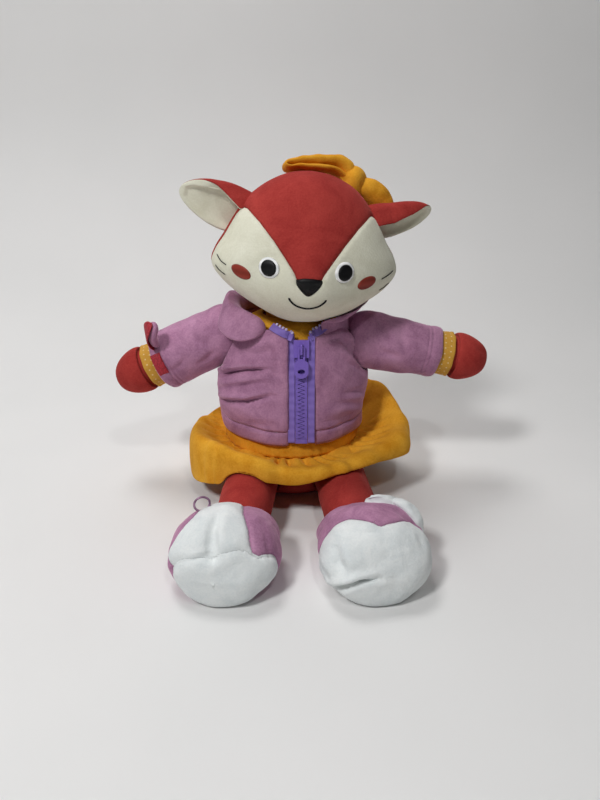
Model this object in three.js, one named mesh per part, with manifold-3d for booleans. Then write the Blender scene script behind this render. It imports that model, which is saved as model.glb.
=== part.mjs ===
// A sitting plush fox doll in a zip jacket, dress and shoes. Millimetres, +Z up, the face looks to -Y,
// and the origin is on the ground under the middle of the seat. Left and right are the doll's own.
import * as THREE from 'three';
import { ConvexGeometry } from 'three/addons/geometries/ConvexGeometry.js';
import { mergeVertices } from 'three/addons/utils/BufferGeometryUtils.js';
import Module from 'manifold-3d';

// Gaps between pieces
const touchGap = 0.3;
const jointGap = 0.5;
const socketGap = 1.5;
const headSweepGap = 2;
const overrun = 3;
const reach = 400;
const mergeDistance = 0.0001;

// Facets round each kind of form
const roundFacets = 18;
const cutterFacets = 12;
const ballFacets = 8;
const sleeveBallFacets = 4;
const strapSteps = 6;
const limbSteps = 2;
const headSteps = 4;
const curveFacets = 8;
const headFacets = [17, 28];
const headSweepFacets = [8, 16];
const limbFacets = [11, 14];
const shoeFacets = [10, 18];
const torsoFacets = [15, 24];
const earFacets = [14, 8];
const collarFacets = 28;
const skirtFacets = 44;

// Stuffed body
const torsoHeight = 146;
const torsoHalfWidth = 53;
const torsoFrontDepth = 49.5;
const torsoBackDepth = 38;
const torsoMiddleX = -4;
const seatCut = 0.5;
const neckRadius = 22;
const neckRise = 6;

// Head, with its middle above the neck
const headHalfWidth = 69;
const headUp = 51;
const headDown = 56;
const headFrontDepth = 52;
const headBackDepth = 47;
const headX = 7;
const headY = -8;
const headRise = 52;
const headRollDeg = 4;
const headTurnDeg = 3;
const headSwingDeg = 25;
const muzzleBulge = 9;
const muzzleSpread = 19;
const muzzleDrop = 19;
const facePanelThickness = 2.2;
const faceSeamDepth = 4;

// Face marks
const markThickness = 0.8;
const eyeSpacing = 26.5;
const eyeDrop = 9;
const eyeWhiteWidth = 13.6;
const eyeWhiteHeight = 15.2;
const pupilWidth = 9.6;
const pupilHeight = 11.2;
const noseWidth = 17.6;
const noseTopDrop = 12.6;
const noseHeight = 11;
const mouthWidth = 25;
const mouthDrop = 27;
const mouthSag = 7;
const mouthThickness = 1.5;
const blushSpacing = 43.5;
const blushDrop = 16.6;
const blushWidth = 14;
const blushHeight = 9.2;
const blushTiltDeg = 18;

// Ears
const earLength = 66;
const earHalfWidth = 22;
const earCup = 9;
const earBackThickness = 4;
const earLiningThickness = 2.4;
const earRootX = 31;
const earRootUp = 15;
const earRootY = 10;
const earLiftDeg = 15;
const earOpenDeg = 14;

// Bow on the crown
const bowLongLoop = 52;
const bowShortLoop = 27;
const bowLoopHeight = 13;
const bowDepth = 17;
const bowKnotRadius = 9.5;
const bowX = 40;
const bowY = 12;
const bowRise = 92;
const bowLeanDeg = 14;

// Jacket and dress shells
const dressGap = 0.3;
const dressThickness = 1.5;
const jacketThickness = 3.5;
const dressNeckDrop = 6;
const waistZ = 42;
const hemZ = 57;
const hemBandHeight = 10;
const jacketNeckDrop = 5;
const sideSeamY = 2;
const neckVWidth = 27;
const neckVRise = 12;
const collarNeckHalfWidth = 36;
const collarNeckDepth = 31;
const collarHalfWidth = 58;
const collarFrontDepth = 45;
const collarBackDepth = 42;
const collarRootDrop = 18;
const collarCrestRise = 14;
const collarSideRise = 5;
const collarFrontDrop = 12;
const collarBackDrop = 9;
const collarFrontCrestRise = 1;
const collarSkew = 5;
const collarEdge = 4.2;
const collarFrontGap = 25;

// Zip, straight from its bottom stop to the neckline
const zipX = 4;
const zipBottomY = -53.6;
const zipTopY = -38;
const zipTopDrop = 9;
const zipTapeWidth = 20;
const zipTapeThickness = 0.9;
const toothPitch = 3;
const toothReach = 2.4;
const toothShift = 0.55;
const toothDepth = 2;
const toothSpine = 1.3;
const stopHeight = 3.4;
const sliderWidth = 11.4;
const sliderLength = 13;
const sliderWall = 1.2;
const bridgeThickness = 1.6;
const pullLength = 22.5;
const pullWidth = 10.4;
const pullNeckWidth = 5.4;
const pullThickness = 1.7;
const pullHoleWidth = 5.6;
const pullHoleHeight = 3.6;
const openTapeLength = 17;
const openTapeWidth = 6;
const openTapeStart = 6;

// Arms with their two sleeves
const armRootX = 56;
const armRootY = 0;
const armRootDropLeft = 24.5;
const armRootDropRight = 19;
const armLength = 99;
const handRadius = 17.6;
const armRootRadius = 17.6;
const dressSleeveLength = 67.5;
const dressSleeveThickness = 1.6;
const jacketSleeveLength = 57;
const jacketSleeveThickness = 2.5;
const sleeveRootRadius = 22.5;
const sleeveEndRadiusLeft = 20;
const sleeveEndRadiusRight = 23.4;
const armDropDegLeft = 10.6;
const armDropDegRight = 24.5;
const armRaiseDeg = 35;
const armLowerDeg = 20;

// Strap on the right sleeve
const strapLength = 21;
const strapWidth = 15;
const strapThickness = 5;
const strapStripThickness = 1;
const strapAlong = 52.5;
const strapAroundDeg = 38;
const strapCloseDeg = 110;
const patchLength = 17;
const patchWidth = 8;
const patchThickness = 1;
const patchAroundDeg = 80;

// Legs and shoes
const legRootX = 33;
const legRootY = -30;
const legRadius = 20;
const legClear = 0.8;
const legLength = 137;
const legSplayDegLeft = 6.5;
const legSplayDegRight = 4.7;
const legSpreadDeg = 13;
const legCloseDeg = 3;
const footRadius = 18.4;
const shoeStart = 84;
const shoeLength = 60;
const shoeHalfWidth = 37;
const shoeUp = 30;
const shoeOutset = 4.2;
const shoeWallGap = 0.5;
const shoeSeamLeft = 108;
const shoeSeamRight = 122;
const tongueHalfWidth = 17;
const tongueDepth = 16;
const tongueInset = 6;
const tongueOutset = 10;
const loopRadius = 4.6;
const loopCord = 1.4;
const loopAcross = 24;
const loopUp = 25;
const laceAlong = 92;
const tieLength = 30;
const tieWidth = 10;
const tieThickness = 4.5;
const tieAcross = 21;

// Skirt
const skirtMiddleX = 1;
const skirtMiddleY = -12;
const skirtHalfWidth = 88;
const skirtFrontDepth = 67;
const skirtBackDepth = 66;
const skirtThickness = 3;
const skirtCrestZ = 74;
const skirtHemZ = 42;

// Heights that follow the top of the torso
const headZ = torsoHeight + headRise;
const bowZ = torsoHeight + bowRise;
const dressNeckZ = torsoHeight - dressNeckDrop;
const jacketNeckZ = torsoHeight - jacketNeckDrop;
const collarRootZ = torsoHeight - collarRootDrop;
const collarCrestZ = torsoHeight + collarCrestRise;
const collarSideZ = torsoHeight + collarSideRise;
const collarFrontZ = torsoHeight - collarFrontDrop;
const collarBackZ = torsoHeight - collarBackDrop;
const collarFrontCrestZ = torsoHeight + collarFrontCrestRise;
const zipTopZ = torsoHeight - zipTopDrop;
const armRootZLeft = torsoHeight - armRootDropLeft;
const armRootZRight = torsoHeight - armRootDropRight;

const red = '#a5352f';
const cream = '#dedcc8';
const pink = '#be86ae';
const purple = '#7a61b4';
const yellow = '#e6ac34';
const dotted = '#bf9338';
const crimson = '#a81e2e';
const white = '#dde1de';
const black = '#141418';
const eyeWhite = '#e9e9e6';
const clothRoughness = 0.95;
const toothRoughness = 0.45;
const metalRoughness = 0.4;
const metalShine = 0.3;
const blush = '#8e3a2c';

// Rows run from one end of a form to the other: place along it, half width, front depth, back depth.
const torsoShares = [
  [0, 0, 0, 0],
  [0.006, 0.6, 0.6, 0.6],
  [0.025, 0.84, 0.82, 0.82],
  [0.08, 0.95, 0.93, 0.94],
  [0.18, 1, 0.98, 1],
  [0.34, 1, 1, 1],
  [0.5, 0.985, 0.94, 0.98],
  [0.68, 0.95, 0.845, 0.94],
  [0.82, 0.88, 0.78, 0.88],
  [0.91, 0.72, 0.7, 0.76],
  [0.97, 0.48, 0.5, 0.55],
  [1, 0, 0, 0],
];
const headShares = [
  [0, 0, 0, 0],
  [0.016, 0.2, 0.3, 0.3],
  [0.05, 0.36, 0.52, 0.52],
  [0.12, 0.57, 0.75, 0.74],
  [0.2, 0.75, 0.89, 0.88],
  [0.285, 0.91, 0.975, 0.96],
  [0.375, 1, 1, 0.99],
  [0.47, 0.965, 0.99, 1],
  [0.57, 0.87, 0.93, 0.98],
  [0.665, 0.785, 0.85, 0.93],
  [0.76, 0.69, 0.74, 0.84],
  [0.855, 0.56, 0.6, 0.71],
  [0.93, 0.41, 0.44, 0.54],
  [0.98, 0.23, 0.25, 0.32],
  [1, 0, 0, 0],
];
const armShares = [
  [0, 0, 0, 0],
  [0.05, 0.6, 0.6, 0.6],
  [0.15, 0.93, 0.93, 0.93],
  [0.24, 0.93, 0.93, 0.93],
  [0.38, 0.82, 0.82, 0.82],
  [0.725, 0.8, 0.8, 0.8],
  [0.76, 1.02, 1.02, 1.02],
  [0.81, 1.06, 1.06, 1.06],
  [0.87, 0.97, 0.97, 0.97],
  [0.93, 0.76, 0.76, 0.76],
  [0.975, 0.46, 0.46, 0.46],
  [1, 0, 0, 0],
];
const legShares = [
  [0, 0, 0, 0],
  [0.03, 0.62, 0.62, 0.62],
  [0.1, 0.98, 0.98, 0.98],
  [0.3, 1, 1, 1],
  [0.5, 0.99, 0.99, 0.99],
  [0.66, 0.9, 0.9, 0.9],
  [0.78, 0.92, 0.92, 0.92],
  [0.9, 0.9, 0.9, 0.9],
  [0.97, 0.6, 0.6, 0.6],
  [1, 0, 0, 0],
];
// Shoe rows: place along, half width, depth below the leg's axis, height above it.
const shoeShares = [
  [0, 0, 0, 0],
  [0.01, 0.7, 1, 0.62],
  [0.1, 0.86, 1, 0.86],
  [0.3, 0.97, 1.05, 1],
  [0.55, 1, 1.1, 0.98],
  [0.75, 0.93, 1.1, 0.78],
  [0.9, 0.72, 1.05, 0.45],
  [0.97, 0.45, 0.8, 0.15],
  [1, 0, 0, 0],
];
// The red stripe from the crown to the nose, seen from the front: across and up from the head's middle.
const blazeShares = [
  [0.66, 0.52],
  [0.5, 0.36],
  [0.36, 0.17],
  [0.24, -0.02],
  [0.155, -0.17],
  [0.125, -0.245],
];
// A bow loop seen from the front, as shares of its length and height, and the slot through a long one.
// Every second row bends the line towards it.
const bowShares = [
  [0, -0.33],
  [0.5, 0.37],
  [1, -0.25],
  [1.12, 0.15],
  [0.96, 0.32],
  [0.5, 1.32],
  [0, 0.33],
];
const bowSlotShares = [
  [0.3, 0.1],
  [0.6, 0.42],
  [0.84, 0.06],
  [0.6, 0.66],
  [0.3, 0.3],
];
const bowKnotShares = [0.72, 1.05, 1];
// The neck's root below the shoulders, the ear's narrowing to its tip, the collar's lobes, the shoe's
// inside, and the pull's round end over its width.
const neckRootShare = 0.1;
const earTaperShare = 0.3;
const lobeShare = 0.17;
const boreShare = 0.62;
const pullHeadShare = 1.25;
// The nose's bent top edge and its full sides, as shares of its height.
const noseTopShare = 0.17;
const noseSideShare = 0.5;
// The skirt going round from the doll's left side towards its back: turn, reach, crest height, hem height.
const skirtShares = [
  [0, 1, 0.76, 0.82],
  [0.1, 1.02, 1, 0.34],
  [0.18, 0.97, 0.93, 0.2],
  [0.25, 1, 0.97, 0.16],
  [0.33, 0.97, 0.86, 0.2],
  [0.41, 1, 0.83, 0.24],
  [0.5, 0.98, 0.77, 0.58],
  [0.58, 1.01, 0.73, 0.74],
  [0.64, 0.95, 0.66, 1.02],
  [0.7, 0.98, 0.65, 1.02],
  [0.75, 0.97, 0.63, 0.9],
  [0.8, 1, 0.65, 1.02],
  [0.87, 0.98, 0.68, 1.02],
  [0.94, 1.01, 0.72, 0.92],
];
// Across the skirt's sheet: out from the waist, up to the crest, down to the hem, and where it is thick.
const sheetShares = [
  [0, 0, 0, 0.5],
  [0, 0, 0, -0.5],
  [0.3, 0.12, 0, -0.5],
  [0.58, 0.7, 0, -0.5],
  [0.8, 1, 0, -1],
  [0.94, 0.8, 0.25, -0.6],
  [0.96, 0, 1, 0],
  [1.01, 0, 1, 0],
  [1, 0.6, 0.4, 0.3],
  [0.93, 0.93, 0.07, 0.4],
  [0.78, 1, 0, 0.5],
  [0.58, 0.74, 0, 0.5],
  [0.3, 0.14, 0, 0.5],
  [0, 0, 0, 0.5],
];

const wasm = await Module();
wasm.setup();

const degrees = THREE.MathUtils.degToRad;

// Leaves only shared positions and drops the flat triangles at a form's poles.
function cleaned(source) {
  const bare = source.clone();
  bare.deleteAttribute('normal');
  bare.deleteAttribute('uv');
  const merged = mergeVertices(bare, mergeDistance);
  const index = merged.getIndex().array;
  const kept = [];
  for (let i = 0; i < index.length; i += 3) {
    const [a, b, c] = [index[i], index[i + 1], index[i + 2]];
    if (a !== b && b !== c && c !== a) kept.push(a, b, c);
  }
  merged.setIndex(kept);
  return merged;
}

function solid(source) {
  const merged = cleaned(source);
  return new wasm.Manifold(new wasm.Mesh({
    numProp: 3,
    vertProperties: new Float32Array(merged.getAttribute('position').array),
    triVerts: new Uint32Array(merged.getIndex().array),
  }));
}

function geometryOf(body) {
  const data = body.getMesh();
  const result = new THREE.BufferGeometry();
  result.setAttribute('position', new THREE.BufferAttribute(new Float32Array(data.vertProperties), 3));
  result.setIndex(new THREE.BufferAttribute(new Uint32Array(data.triVerts), 1));
  result.computeVertexNormals();
  return result;
}

function moved(body, matrix) {
  return solid(geometryOf(body).applyMatrix4(matrix));
}

// A stuffed form between two ends of its own z axis. Its rings are ovals whose front (-y) and back (+y)
// depths differ, and grow moves the whole skin outwards.
function stuffedGeometry(rows, size, [rings, segments], grow = 0) {
  const widths = new THREE.CatmullRomCurve3(
    rows.map(([along, width, front]) => new THREE.Vector3(along, width, front)), false, 'catmullrom', 0.5);
  const backs = new THREE.CatmullRomCurve3(
    rows.map(([along, , , back]) => new THREE.Vector3(along, back, 0)), false, 'catmullrom', 0.5);
  const points = [];
  for (let ring = 0; ring <= rings; ring += 1) {
    points.push(new THREE.Vector2(ring === 0 || ring === rings ? 0 : 1, ring));
  }
  const form = new THREE.LatheGeometry(points, segments);
  const place = form.getAttribute('position');
  const middle = (size.start + size.end) / 2;
  const stretch = 1 + (2 * grow) / (size.end - size.start);
  for (let i = 0; i < place.count; i += 1) {
    const share = THREE.MathUtils.clamp(Math.round(place.getY(i)) / rings, 0, 1);
    const row = widths.getPoint(share);
    const back = backs.getPoint(share).y;
    const across = place.getX(i);
    const deep = -place.getZ(i);
    const half = row.y * size.halfWidth + (row.y > 0 ? grow : 0);
    const depth = deep < 0 ? row.z * size.front : back * size.back;
    const along = THREE.MathUtils.lerp(size.start, size.end, row.x);
    const reached = depth + (depth > 0 ? grow : 0);
    place.setXYZ(i, across * half, deep * reached, middle + (along - middle) * stretch);
  }
  return form;
}

function block(x0, x1, y0, y1, z0, z1) {
  const box = new THREE.BoxGeometry(x1 - x0, y1 - y0, z1 - z0);
  return solid(box.translate((x0 + x1) / 2, (y0 + y1) / 2, (z0 + z1) / 2));
}

// An outline seen from the front, drawn across x and z, that runs from y = nearY back to y = farY.
function frontPrism(outline, nearY, farY) {
  const prism = new THREE.ExtrudeGeometry(outline, {
    depth: farY - nearY, bevelEnabled: false, curveSegments: curveFacets,
  });
  return solid(prism.rotateX(Math.PI / 2).translate(0, farY, 0));
}

function ovalPoints(middleX, middleZ, width, height, tilt = 0) {
  const curve = new THREE.EllipseCurve(middleX, middleZ, width / 2, height / 2, 0, 2 * Math.PI, false, tilt);
  return curve.getPoints(2 * curveFacets).slice(0, -1);
}

function oval(...sizes) {
  return new THREE.Shape(ovalPoints(...sizes));
}

function standing(radius, height, middleZ, facets = roundFacets) {
  return solid(new THREE.CylinderGeometry(radius, radius, height, facets).rotateX(Math.PI / 2)
    .translate(0, 0, middleZ));
}

const fox = new THREE.Group();

function addPiece(parent, name, body, color, roughness = clothRoughness, metalness = 0) {
  const material = new THREE.MeshStandardMaterial({ color, roughness, metalness });
  const mesh = new THREE.Mesh(geometryOf(body), material);
  mesh.name = name;
  parent.add(mesh);
}

function matrixOf(group) {
  group.updateWorldMatrix(true, false);
  return group.matrixWorld.clone();
}

// Union of a part's solid in several poses of its joint, a little grown, that neighbours are cut by.
function swept(body, pivot, axis, fromDeg, toDeg, steps) {
  let result = null;
  for (let step = 0; step <= steps; step += 1) {
    const angle = degrees(THREE.MathUtils.lerp(fromDeg, toDeg, step / steps));
    const pose = new THREE.Matrix4().makeTranslation(pivot)
      .multiply(new THREE.Matrix4().makeRotationAxis(axis, angle))
      .multiply(new THREE.Matrix4().makeTranslation(pivot.clone().negate()));
    const copy = moved(body, pose);
    result = result ? result.add(copy) : copy;
  }
  return result;
}

// What a limb's socket is cut by: a ball round its pivot, and the limb as a plain tube in three poses.
function socketCutter(limb, radius, length, axis, fromDeg, toDeg) {
  const ball = solid(new THREE.SphereGeometry(radius + socketGap, cutterFacets, ballFacets)
    .translate(...limb.position.toArray()));
  const tube = moved(standing(radius + socketGap, length, length / 2, cutterFacets), matrixOf(limb));
  return ball.add(swept(tube, limb.position, axis, fromDeg, toDeg, limbSteps));
}

// Head: one stuffed form with a forward muzzle, rolled and turned a little on the neck.
const headGroup = new THREE.Group();
headGroup.position.set(headX, headY, headZ);
headGroup.rotation.set(0, degrees(headRollDeg), degrees(headTurnDeg), 'ZYX');
fox.add(headGroup);
const headMatrix = matrixOf(headGroup);
const headInverse = headMatrix.clone().invert();

function headForm(grow = 0, facets = headFacets) {
  const size = {
    start: -headDown, end: headUp, halfWidth: headHalfWidth, front: headFrontDepth, back: headBackDepth,
  };
  const form = stuffedGeometry(headShares, size, facets, grow);
  const place = form.getAttribute('position');
  for (let i = 0; i < place.count; i += 1) {
    const [x, y, z] = [place.getX(i), place.getY(i), place.getZ(i)];
    if (y >= 0) continue;
    const rise = z + muzzleDrop;
    const spread = Math.exp(-(x * x + rise * rise) / (2 * muzzleSpread * muzzleSpread));
    const facing = Math.min(1, -y / (headFrontDepth / 2));
    place.setY(i, y - muzzleBulge * spread * facing);
  }
  return solid(form);
}

const headOuter = headForm();

// The face panel covers the front below the red stripe, back to the seam just before the sides.
function blazeOutline(spread) {
  const points = blazeShares.map(([across, up]) =>
    new THREE.Vector2(across * headHalfWidth + spread, up * headUp - spread));
  const outline = new THREE.Shape();
  const right = new THREE.SplineCurve(points).getPoints(curveFacets);
  outline.moveTo(right[0].x, headUp + overrun);
  right.forEach((point) => outline.lineTo(point.x, point.y));
  [...right].reverse().forEach((point) => outline.lineTo(-point.x, point.y));
  outline.lineTo(-right[0].x, headUp + overrun);
  return outline;
}

function faceRegion(back, spread) {
  const sides = block(-reach, reach, -reach, back, -headDown - overrun, headUp + overrun);
  const crown = block(-reach, reach, -reach, back + overrun,
    blazeShares[0][1] * headUp + spread, headUp + 2 * overrun);
  return sides.subtract(frontPrism(blazeOutline(-spread), -reach, back + overrun)).subtract(crown);
}

const facePanel = headOuter.subtract(headForm(-facePanelThickness))
  .intersect(faceRegion(-faceSeamDepth, 0));
const facePocket = headForm(overrun)
  .subtract(headForm(-facePanelThickness - touchGap))
  .intersect(faceRegion(-faceSeamDepth + touchGap, touchGap));
const neckTop = torsoHeight + neckRise;
const neckHole = moved(standing(neckRadius + jointGap, neckTop, neckTop / 2 + touchGap), headInverse);
addPiece(headGroup, 'head', headOuter.subtract(facePocket).subtract(neckHole), red);
addPiece(headGroup, 'face_panel', facePanel.subtract(neckHole), cream);

// Embroidered marks: thin pads that follow the face, cut to their outlines.
const markBand = headForm(touchGap + markThickness).subtract(headForm(touchGap));
const pupilBand = headForm(2 * (touchGap + markThickness))
  .subtract(headForm(2 * touchGap + markThickness));

function mark(name, outline, color, band = markBand) {
  const front = frontPrism(outline, -headFrontDepth - muzzleBulge - 3 * overrun, -overrun);
  addPiece(headGroup, name, band.intersect(front), color);
}

for (const [side, sign] of [['left', 1], ['right', -1]]) {
  mark(`eye_white_${side}`, oval(sign * eyeSpacing, -eyeDrop, eyeWhiteWidth, eyeWhiteHeight), eyeWhite);
  mark(`eye_pupil_${side}`, oval(sign * eyeSpacing, -eyeDrop, pupilWidth, pupilHeight), black, pupilBand);
  mark(`blush_${side}`,
    oval(sign * blushSpacing, -blushDrop, blushWidth, blushHeight, sign * degrees(blushTiltDeg)), blush);
}

const noseOutline = new THREE.Shape();
noseOutline.moveTo(-noseWidth / 2, -noseTopDrop);
const noseSideZ = -noseTopDrop - noseHeight * noseSideShare;
noseOutline.quadraticCurveTo(0, -noseTopDrop + noseHeight * noseTopShare, noseWidth / 2, -noseTopDrop);
noseOutline.quadraticCurveTo(noseWidth / 2, noseSideZ, 0, -noseTopDrop - noseHeight);
noseOutline.quadraticCurveTo(-noseWidth / 2, noseSideZ, -noseWidth / 2, -noseTopDrop);
mark('nose', noseOutline, black);

const mouthOutline = new THREE.Shape();
const mouthHalf = mouthWidth / 2;
mouthOutline.moveTo(-mouthHalf, -mouthDrop);
mouthOutline.quadraticCurveTo(0, -mouthDrop - 2 * mouthSag, mouthHalf, -mouthDrop);
mouthOutline.lineTo(mouthHalf - mouthThickness, -mouthDrop + mouthThickness / 2);
mouthOutline.quadraticCurveTo(0, -mouthDrop - 2 * mouthSag + 2 * mouthThickness,
  -mouthHalf + mouthThickness, -mouthDrop + mouthThickness / 2);
mark('mouth', mouthOutline, black);

// Ears: a red back and a cream lining, two cupped leaves that meet on one bent surface.
function earLeaf(side, thickness) {
  const leaf = new THREE.SphereGeometry(1, ...earFacets).rotateX(Math.PI / 2);
  const place = leaf.getAttribute('position');
  for (let i = 0; i < place.count; i += 1) {
    const [along, across, out] = [place.getX(i), place.getY(i), place.getZ(i)];
    const reachShare = (along + 1) / 2;
    const width = earHalfWidth * (1 - earTaperShare * reachShare * reachShare);
    const y = across * width;
    const cup = -earCup * (across * across) * (1 - earTaperShare * reachShare);
    const lift = touchGap / 2 + Math.max(0, out * side) * thickness;
    place.setXYZ(i, reachShare * earLength, y, cup + side * lift);
  }
  return solid(leaf);
}

// What the bow's loops are cut by: a filled shape that holds the whole ear and its gap.
function earHull() {
  const points = [];
  for (const [side, thickness] of [[1, earBackThickness], [-1, earLiningThickness]]) {
    const place = geometryOf(earLeaf(side, thickness)).getAttribute('position');
    for (let i = 0; i < place.count; i += 1) {
      const point = new THREE.Vector3().fromBufferAttribute(place, i);
      point.y *= 1 + touchGap / earHalfWidth;
      points.push(point, point.clone().setZ(point.z + side * touchGap));
    }
  }
  return solid(new ConvexGeometry(points));
}

const earBites = [];
for (const [side, sign] of [['left', 1], ['right', -1]]) {
  const ear = new THREE.Group();
  ear.position.set(sign * earRootX, earRootY, earRootUp);
  ear.rotation.set(0, -degrees(earLiftDeg), sign > 0 ? 0 : Math.PI, 'ZYX');
  headGroup.add(ear);
  const tip = new THREE.Group();
  tip.rotation.set(-sign * degrees(90 - earOpenDeg), 0, 0);
  ear.add(tip);
  const bite = moved(headForm(touchGap), matrixOf(tip).invert().multiply(headMatrix));
  addPiece(tip, `ear_back_${side}`, earLeaf(1, earBackThickness).subtract(bite), red);
  addPiece(tip, `ear_lining_${side}`, earLeaf(-1, earLiningThickness).subtract(bite), cream);
  earBites.push(moved(earHull(), headInverse.clone().multiply(matrixOf(tip))));
}

// Bow: each loop is a strip folded back on itself, and the knot wraps both where they meet.
const bow = new THREE.Group();
bow.position.set(bowX, bowY, bowZ);
bow.rotation.set(0, degrees(bowLeanDeg), 0);
headGroup.worldToLocal(bow.position);
bow.rotation.y -= degrees(headRollDeg);
headGroup.add(bow);
const bowInHead = matrixOf(bow).invert().multiply(headMatrix);
const headBite = moved(headForm(touchGap).add(earBites[0]).add(earBites[1]), bowInHead);

function bentOutline(outline, shares, length, height) {
  const [start, ...bends] = shares.map(([along, up]) => new THREE.Vector2(along * length, up * height));
  outline.moveTo(start.x, start.y);
  for (let i = 0; i < bends.length; i += 2) {
    outline.quadraticCurveTo(bends[i].x, bends[i].y, bends[i + 1].x, bends[i + 1].y);
  }
  return outline;
}

function bowLoop(length, height) {
  const outer = bentOutline(new THREE.Shape(), bowShares, length, height);
  if (length > 2 * height) outer.holes.push(bentOutline(new THREE.Path(), bowSlotShares, length, height));
  return frontPrism(outer, -bowDepth / 2, bowDepth / 2);
}

function bowKnot(radius) {
  return solid(new THREE.SphereGeometry(radius, cutterFacets, ballFacets).scale(...bowKnotShares));
}

const bowBite = bowKnot(bowKnotRadius + touchGap).add(headBite);
const longLoop = moved(bowLoop(bowLongLoop, bowLoopHeight), new THREE.Matrix4().makeRotationZ(Math.PI));
addPiece(bow, 'bow_knot', bowKnot(bowKnotRadius).subtract(headBite), yellow);
addPiece(bow, 'bow_loop_right', longLoop.subtract(bowBite), yellow);
addPiece(bow, 'bow_loop_left', bowLoop(bowShortLoop, bowLoopHeight).subtract(bowBite), yellow);

// Arms: each group's z axis runs along the arm from the shoulder, and its sleeves are shells round it.
const armSide = {
  left: { sign: 1, rootZ: armRootZLeft, dropDeg: armDropDegLeft, sleeveEnd: sleeveEndRadiusLeft },
  right: { sign: -1, rootZ: armRootZRight, dropDeg: armDropDegRight, sleeveEnd: sleeveEndRadiusRight },
};

function armForm(grow = 0) {
  const size = {
    start: -armRootRadius, end: armLength, halfWidth: handRadius, front: handRadius, back: handRadius,
  };
  return solid(stuffedGeometry(armShares, size, limbFacets, grow));
}

// A sleeve's outside: a ball at the shoulder, then a cone to its open end.
function sleeveForm(rootRadius, endRadius, length, grow = 0, extra = 0) {
  const points = [new THREE.Vector2(0, -rootRadius - grow)];
  for (let step = 1; step <= sleeveBallFacets; step += 1) {
    const angle = (step / sleeveBallFacets - 1) * (Math.PI / 2);
    points.push(new THREE.Vector2(Math.cos(angle), Math.sin(angle)).multiplyScalar(rootRadius + grow));
  }
  const slope = (endRadius - rootRadius) / length;
  const end = length + extra;
  points.push(new THREE.Vector2(rootRadius + grow + slope * end, end));
  points.push(new THREE.Vector2(0, end));
  return solid(new THREE.LatheGeometry(points, roundFacets).rotateX(Math.PI / 2));
}

function sleeveShell(rootRadius, endRadius, length, thickness) {
  return sleeveForm(rootRadius, endRadius, length)
    .subtract(sleeveForm(rootRadius, endRadius, length, -thickness, overrun));
}

// The strap stands on the right sleeve near its end. It closes by swinging round a slanted line through
// its root, which lays it down over the patch with its hook strip inwards.
function stadium(width, length) {
  const outline = new THREE.Shape();
  outline.absarc(0, width / 2, width / 2, Math.PI, 2 * Math.PI, false);
  outline.absarc(0, length - width / 2, width / 2, 0, Math.PI, false);
  return outline;
}

function strapSlab(width, length, nearSleeve, farSleeve) {
  return solid(new THREE.ExtrudeGeometry(stadium(width, length), {
    depth: farSleeve - nearSleeve, bevelEnabled: false, curveSegments: curveFacets,
  }).translate(0, touchGap, -farSleeve));
}

const dressRootRadius = armRootRadius + touchGap + dressSleeveThickness;
const dressEndRadius = sleeveEndRadiusLeft - jacketSleeveThickness - 3 * touchGap;
const strapAxis = new THREE.Vector3(1, 1, -1).normalize();
const armCutters = [];

for (const [side, { sign, rootZ, dropDeg, sleeveEnd }] of Object.entries(armSide)) {
  const arm = new THREE.Group();
  arm.position.set(sign * armRootX, armRootY, rootZ);
  arm.rotation.set(0, sign * degrees(90 + dropDeg), 0);
  fox.add(arm);
  addPiece(arm, `arm_${side}`, armForm(), red);
  addPiece(arm, `dress_sleeve_${side}`,
    sleeveShell(dressRootRadius, dressEndRadius, dressSleeveLength, dressSleeveThickness), dotted);
  let sleeve = sleeveShell(sleeveRootRadius, sleeveEnd, jacketSleeveLength, jacketSleeveThickness);
  if (side === 'right') {
    const strap = new THREE.Group();
    const surface = THREE.MathUtils.lerp(sleeveRootRadius, sleeveEnd, strapAlong / jacketSleeveLength);
    const around = degrees(strapAroundDeg);
    strap.position.set(Math.cos(around) * surface, -Math.sin(around) * surface, strapAlong);
    strap.rotation.set(0, 0, -Math.PI / 2 - around);
    arm.add(strap);
    const stripDepth = touchGap + strapStripThickness;
    const slabDepth = stripDepth + touchGap;
    addPiece(strap, 'sleeve_strap',
      strapSlab(strapWidth, strapLength, slabDepth, slabDepth + strapThickness), pink);
    addPiece(strap, 'strap_hook_strip', strapSlab(strapWidth, strapLength, touchGap, stripDepth), crimson);
    const swing = strapSlab(strapWidth + 2 * jointGap, strapLength + 2 * jointGap, 0,
      slabDepth + touchGap + strapThickness).translate(0, -jointGap, 0);
    const inArm = matrixOf(arm).invert().multiply(matrixOf(strap));
    const swings = swept(swing, new THREE.Vector3(), strapAxis, 0, strapCloseDeg, strapSteps);
    sleeve = sleeve.subtract(moved(swings, inArm));
    const patchTurn = new THREE.Matrix4().makeRotationZ(-degrees(patchAroundDeg));
    const patchBox = moved(block(0, reach, -patchLength / 2, patchLength / 2,
      strapAlong - patchWidth / 2, strapAlong + patchWidth / 2), patchTurn);
    const patchBand = sleeveForm(sleeveRootRadius, sleeveEnd, jacketSleeveLength, touchGap + patchThickness)
      .subtract(sleeveForm(sleeveRootRadius, sleeveEnd, jacketSleeveLength, touchGap, overrun));
    addPiece(arm, 'strap_patch', patchBand.intersect(patchBox), crimson);
  }
  addPiece(arm, `jacket_sleeve_${side}`, sleeve, pink);
  const raise = new THREE.Vector3(0, -sign, 0);
  armCutters.push(socketCutter(arm, sleeveRootRadius, jacketSleeveLength, raise, -armLowerDeg, armRaiseDeg));
}
const armCutter = armCutters[0].add(armCutters[1]);

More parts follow.
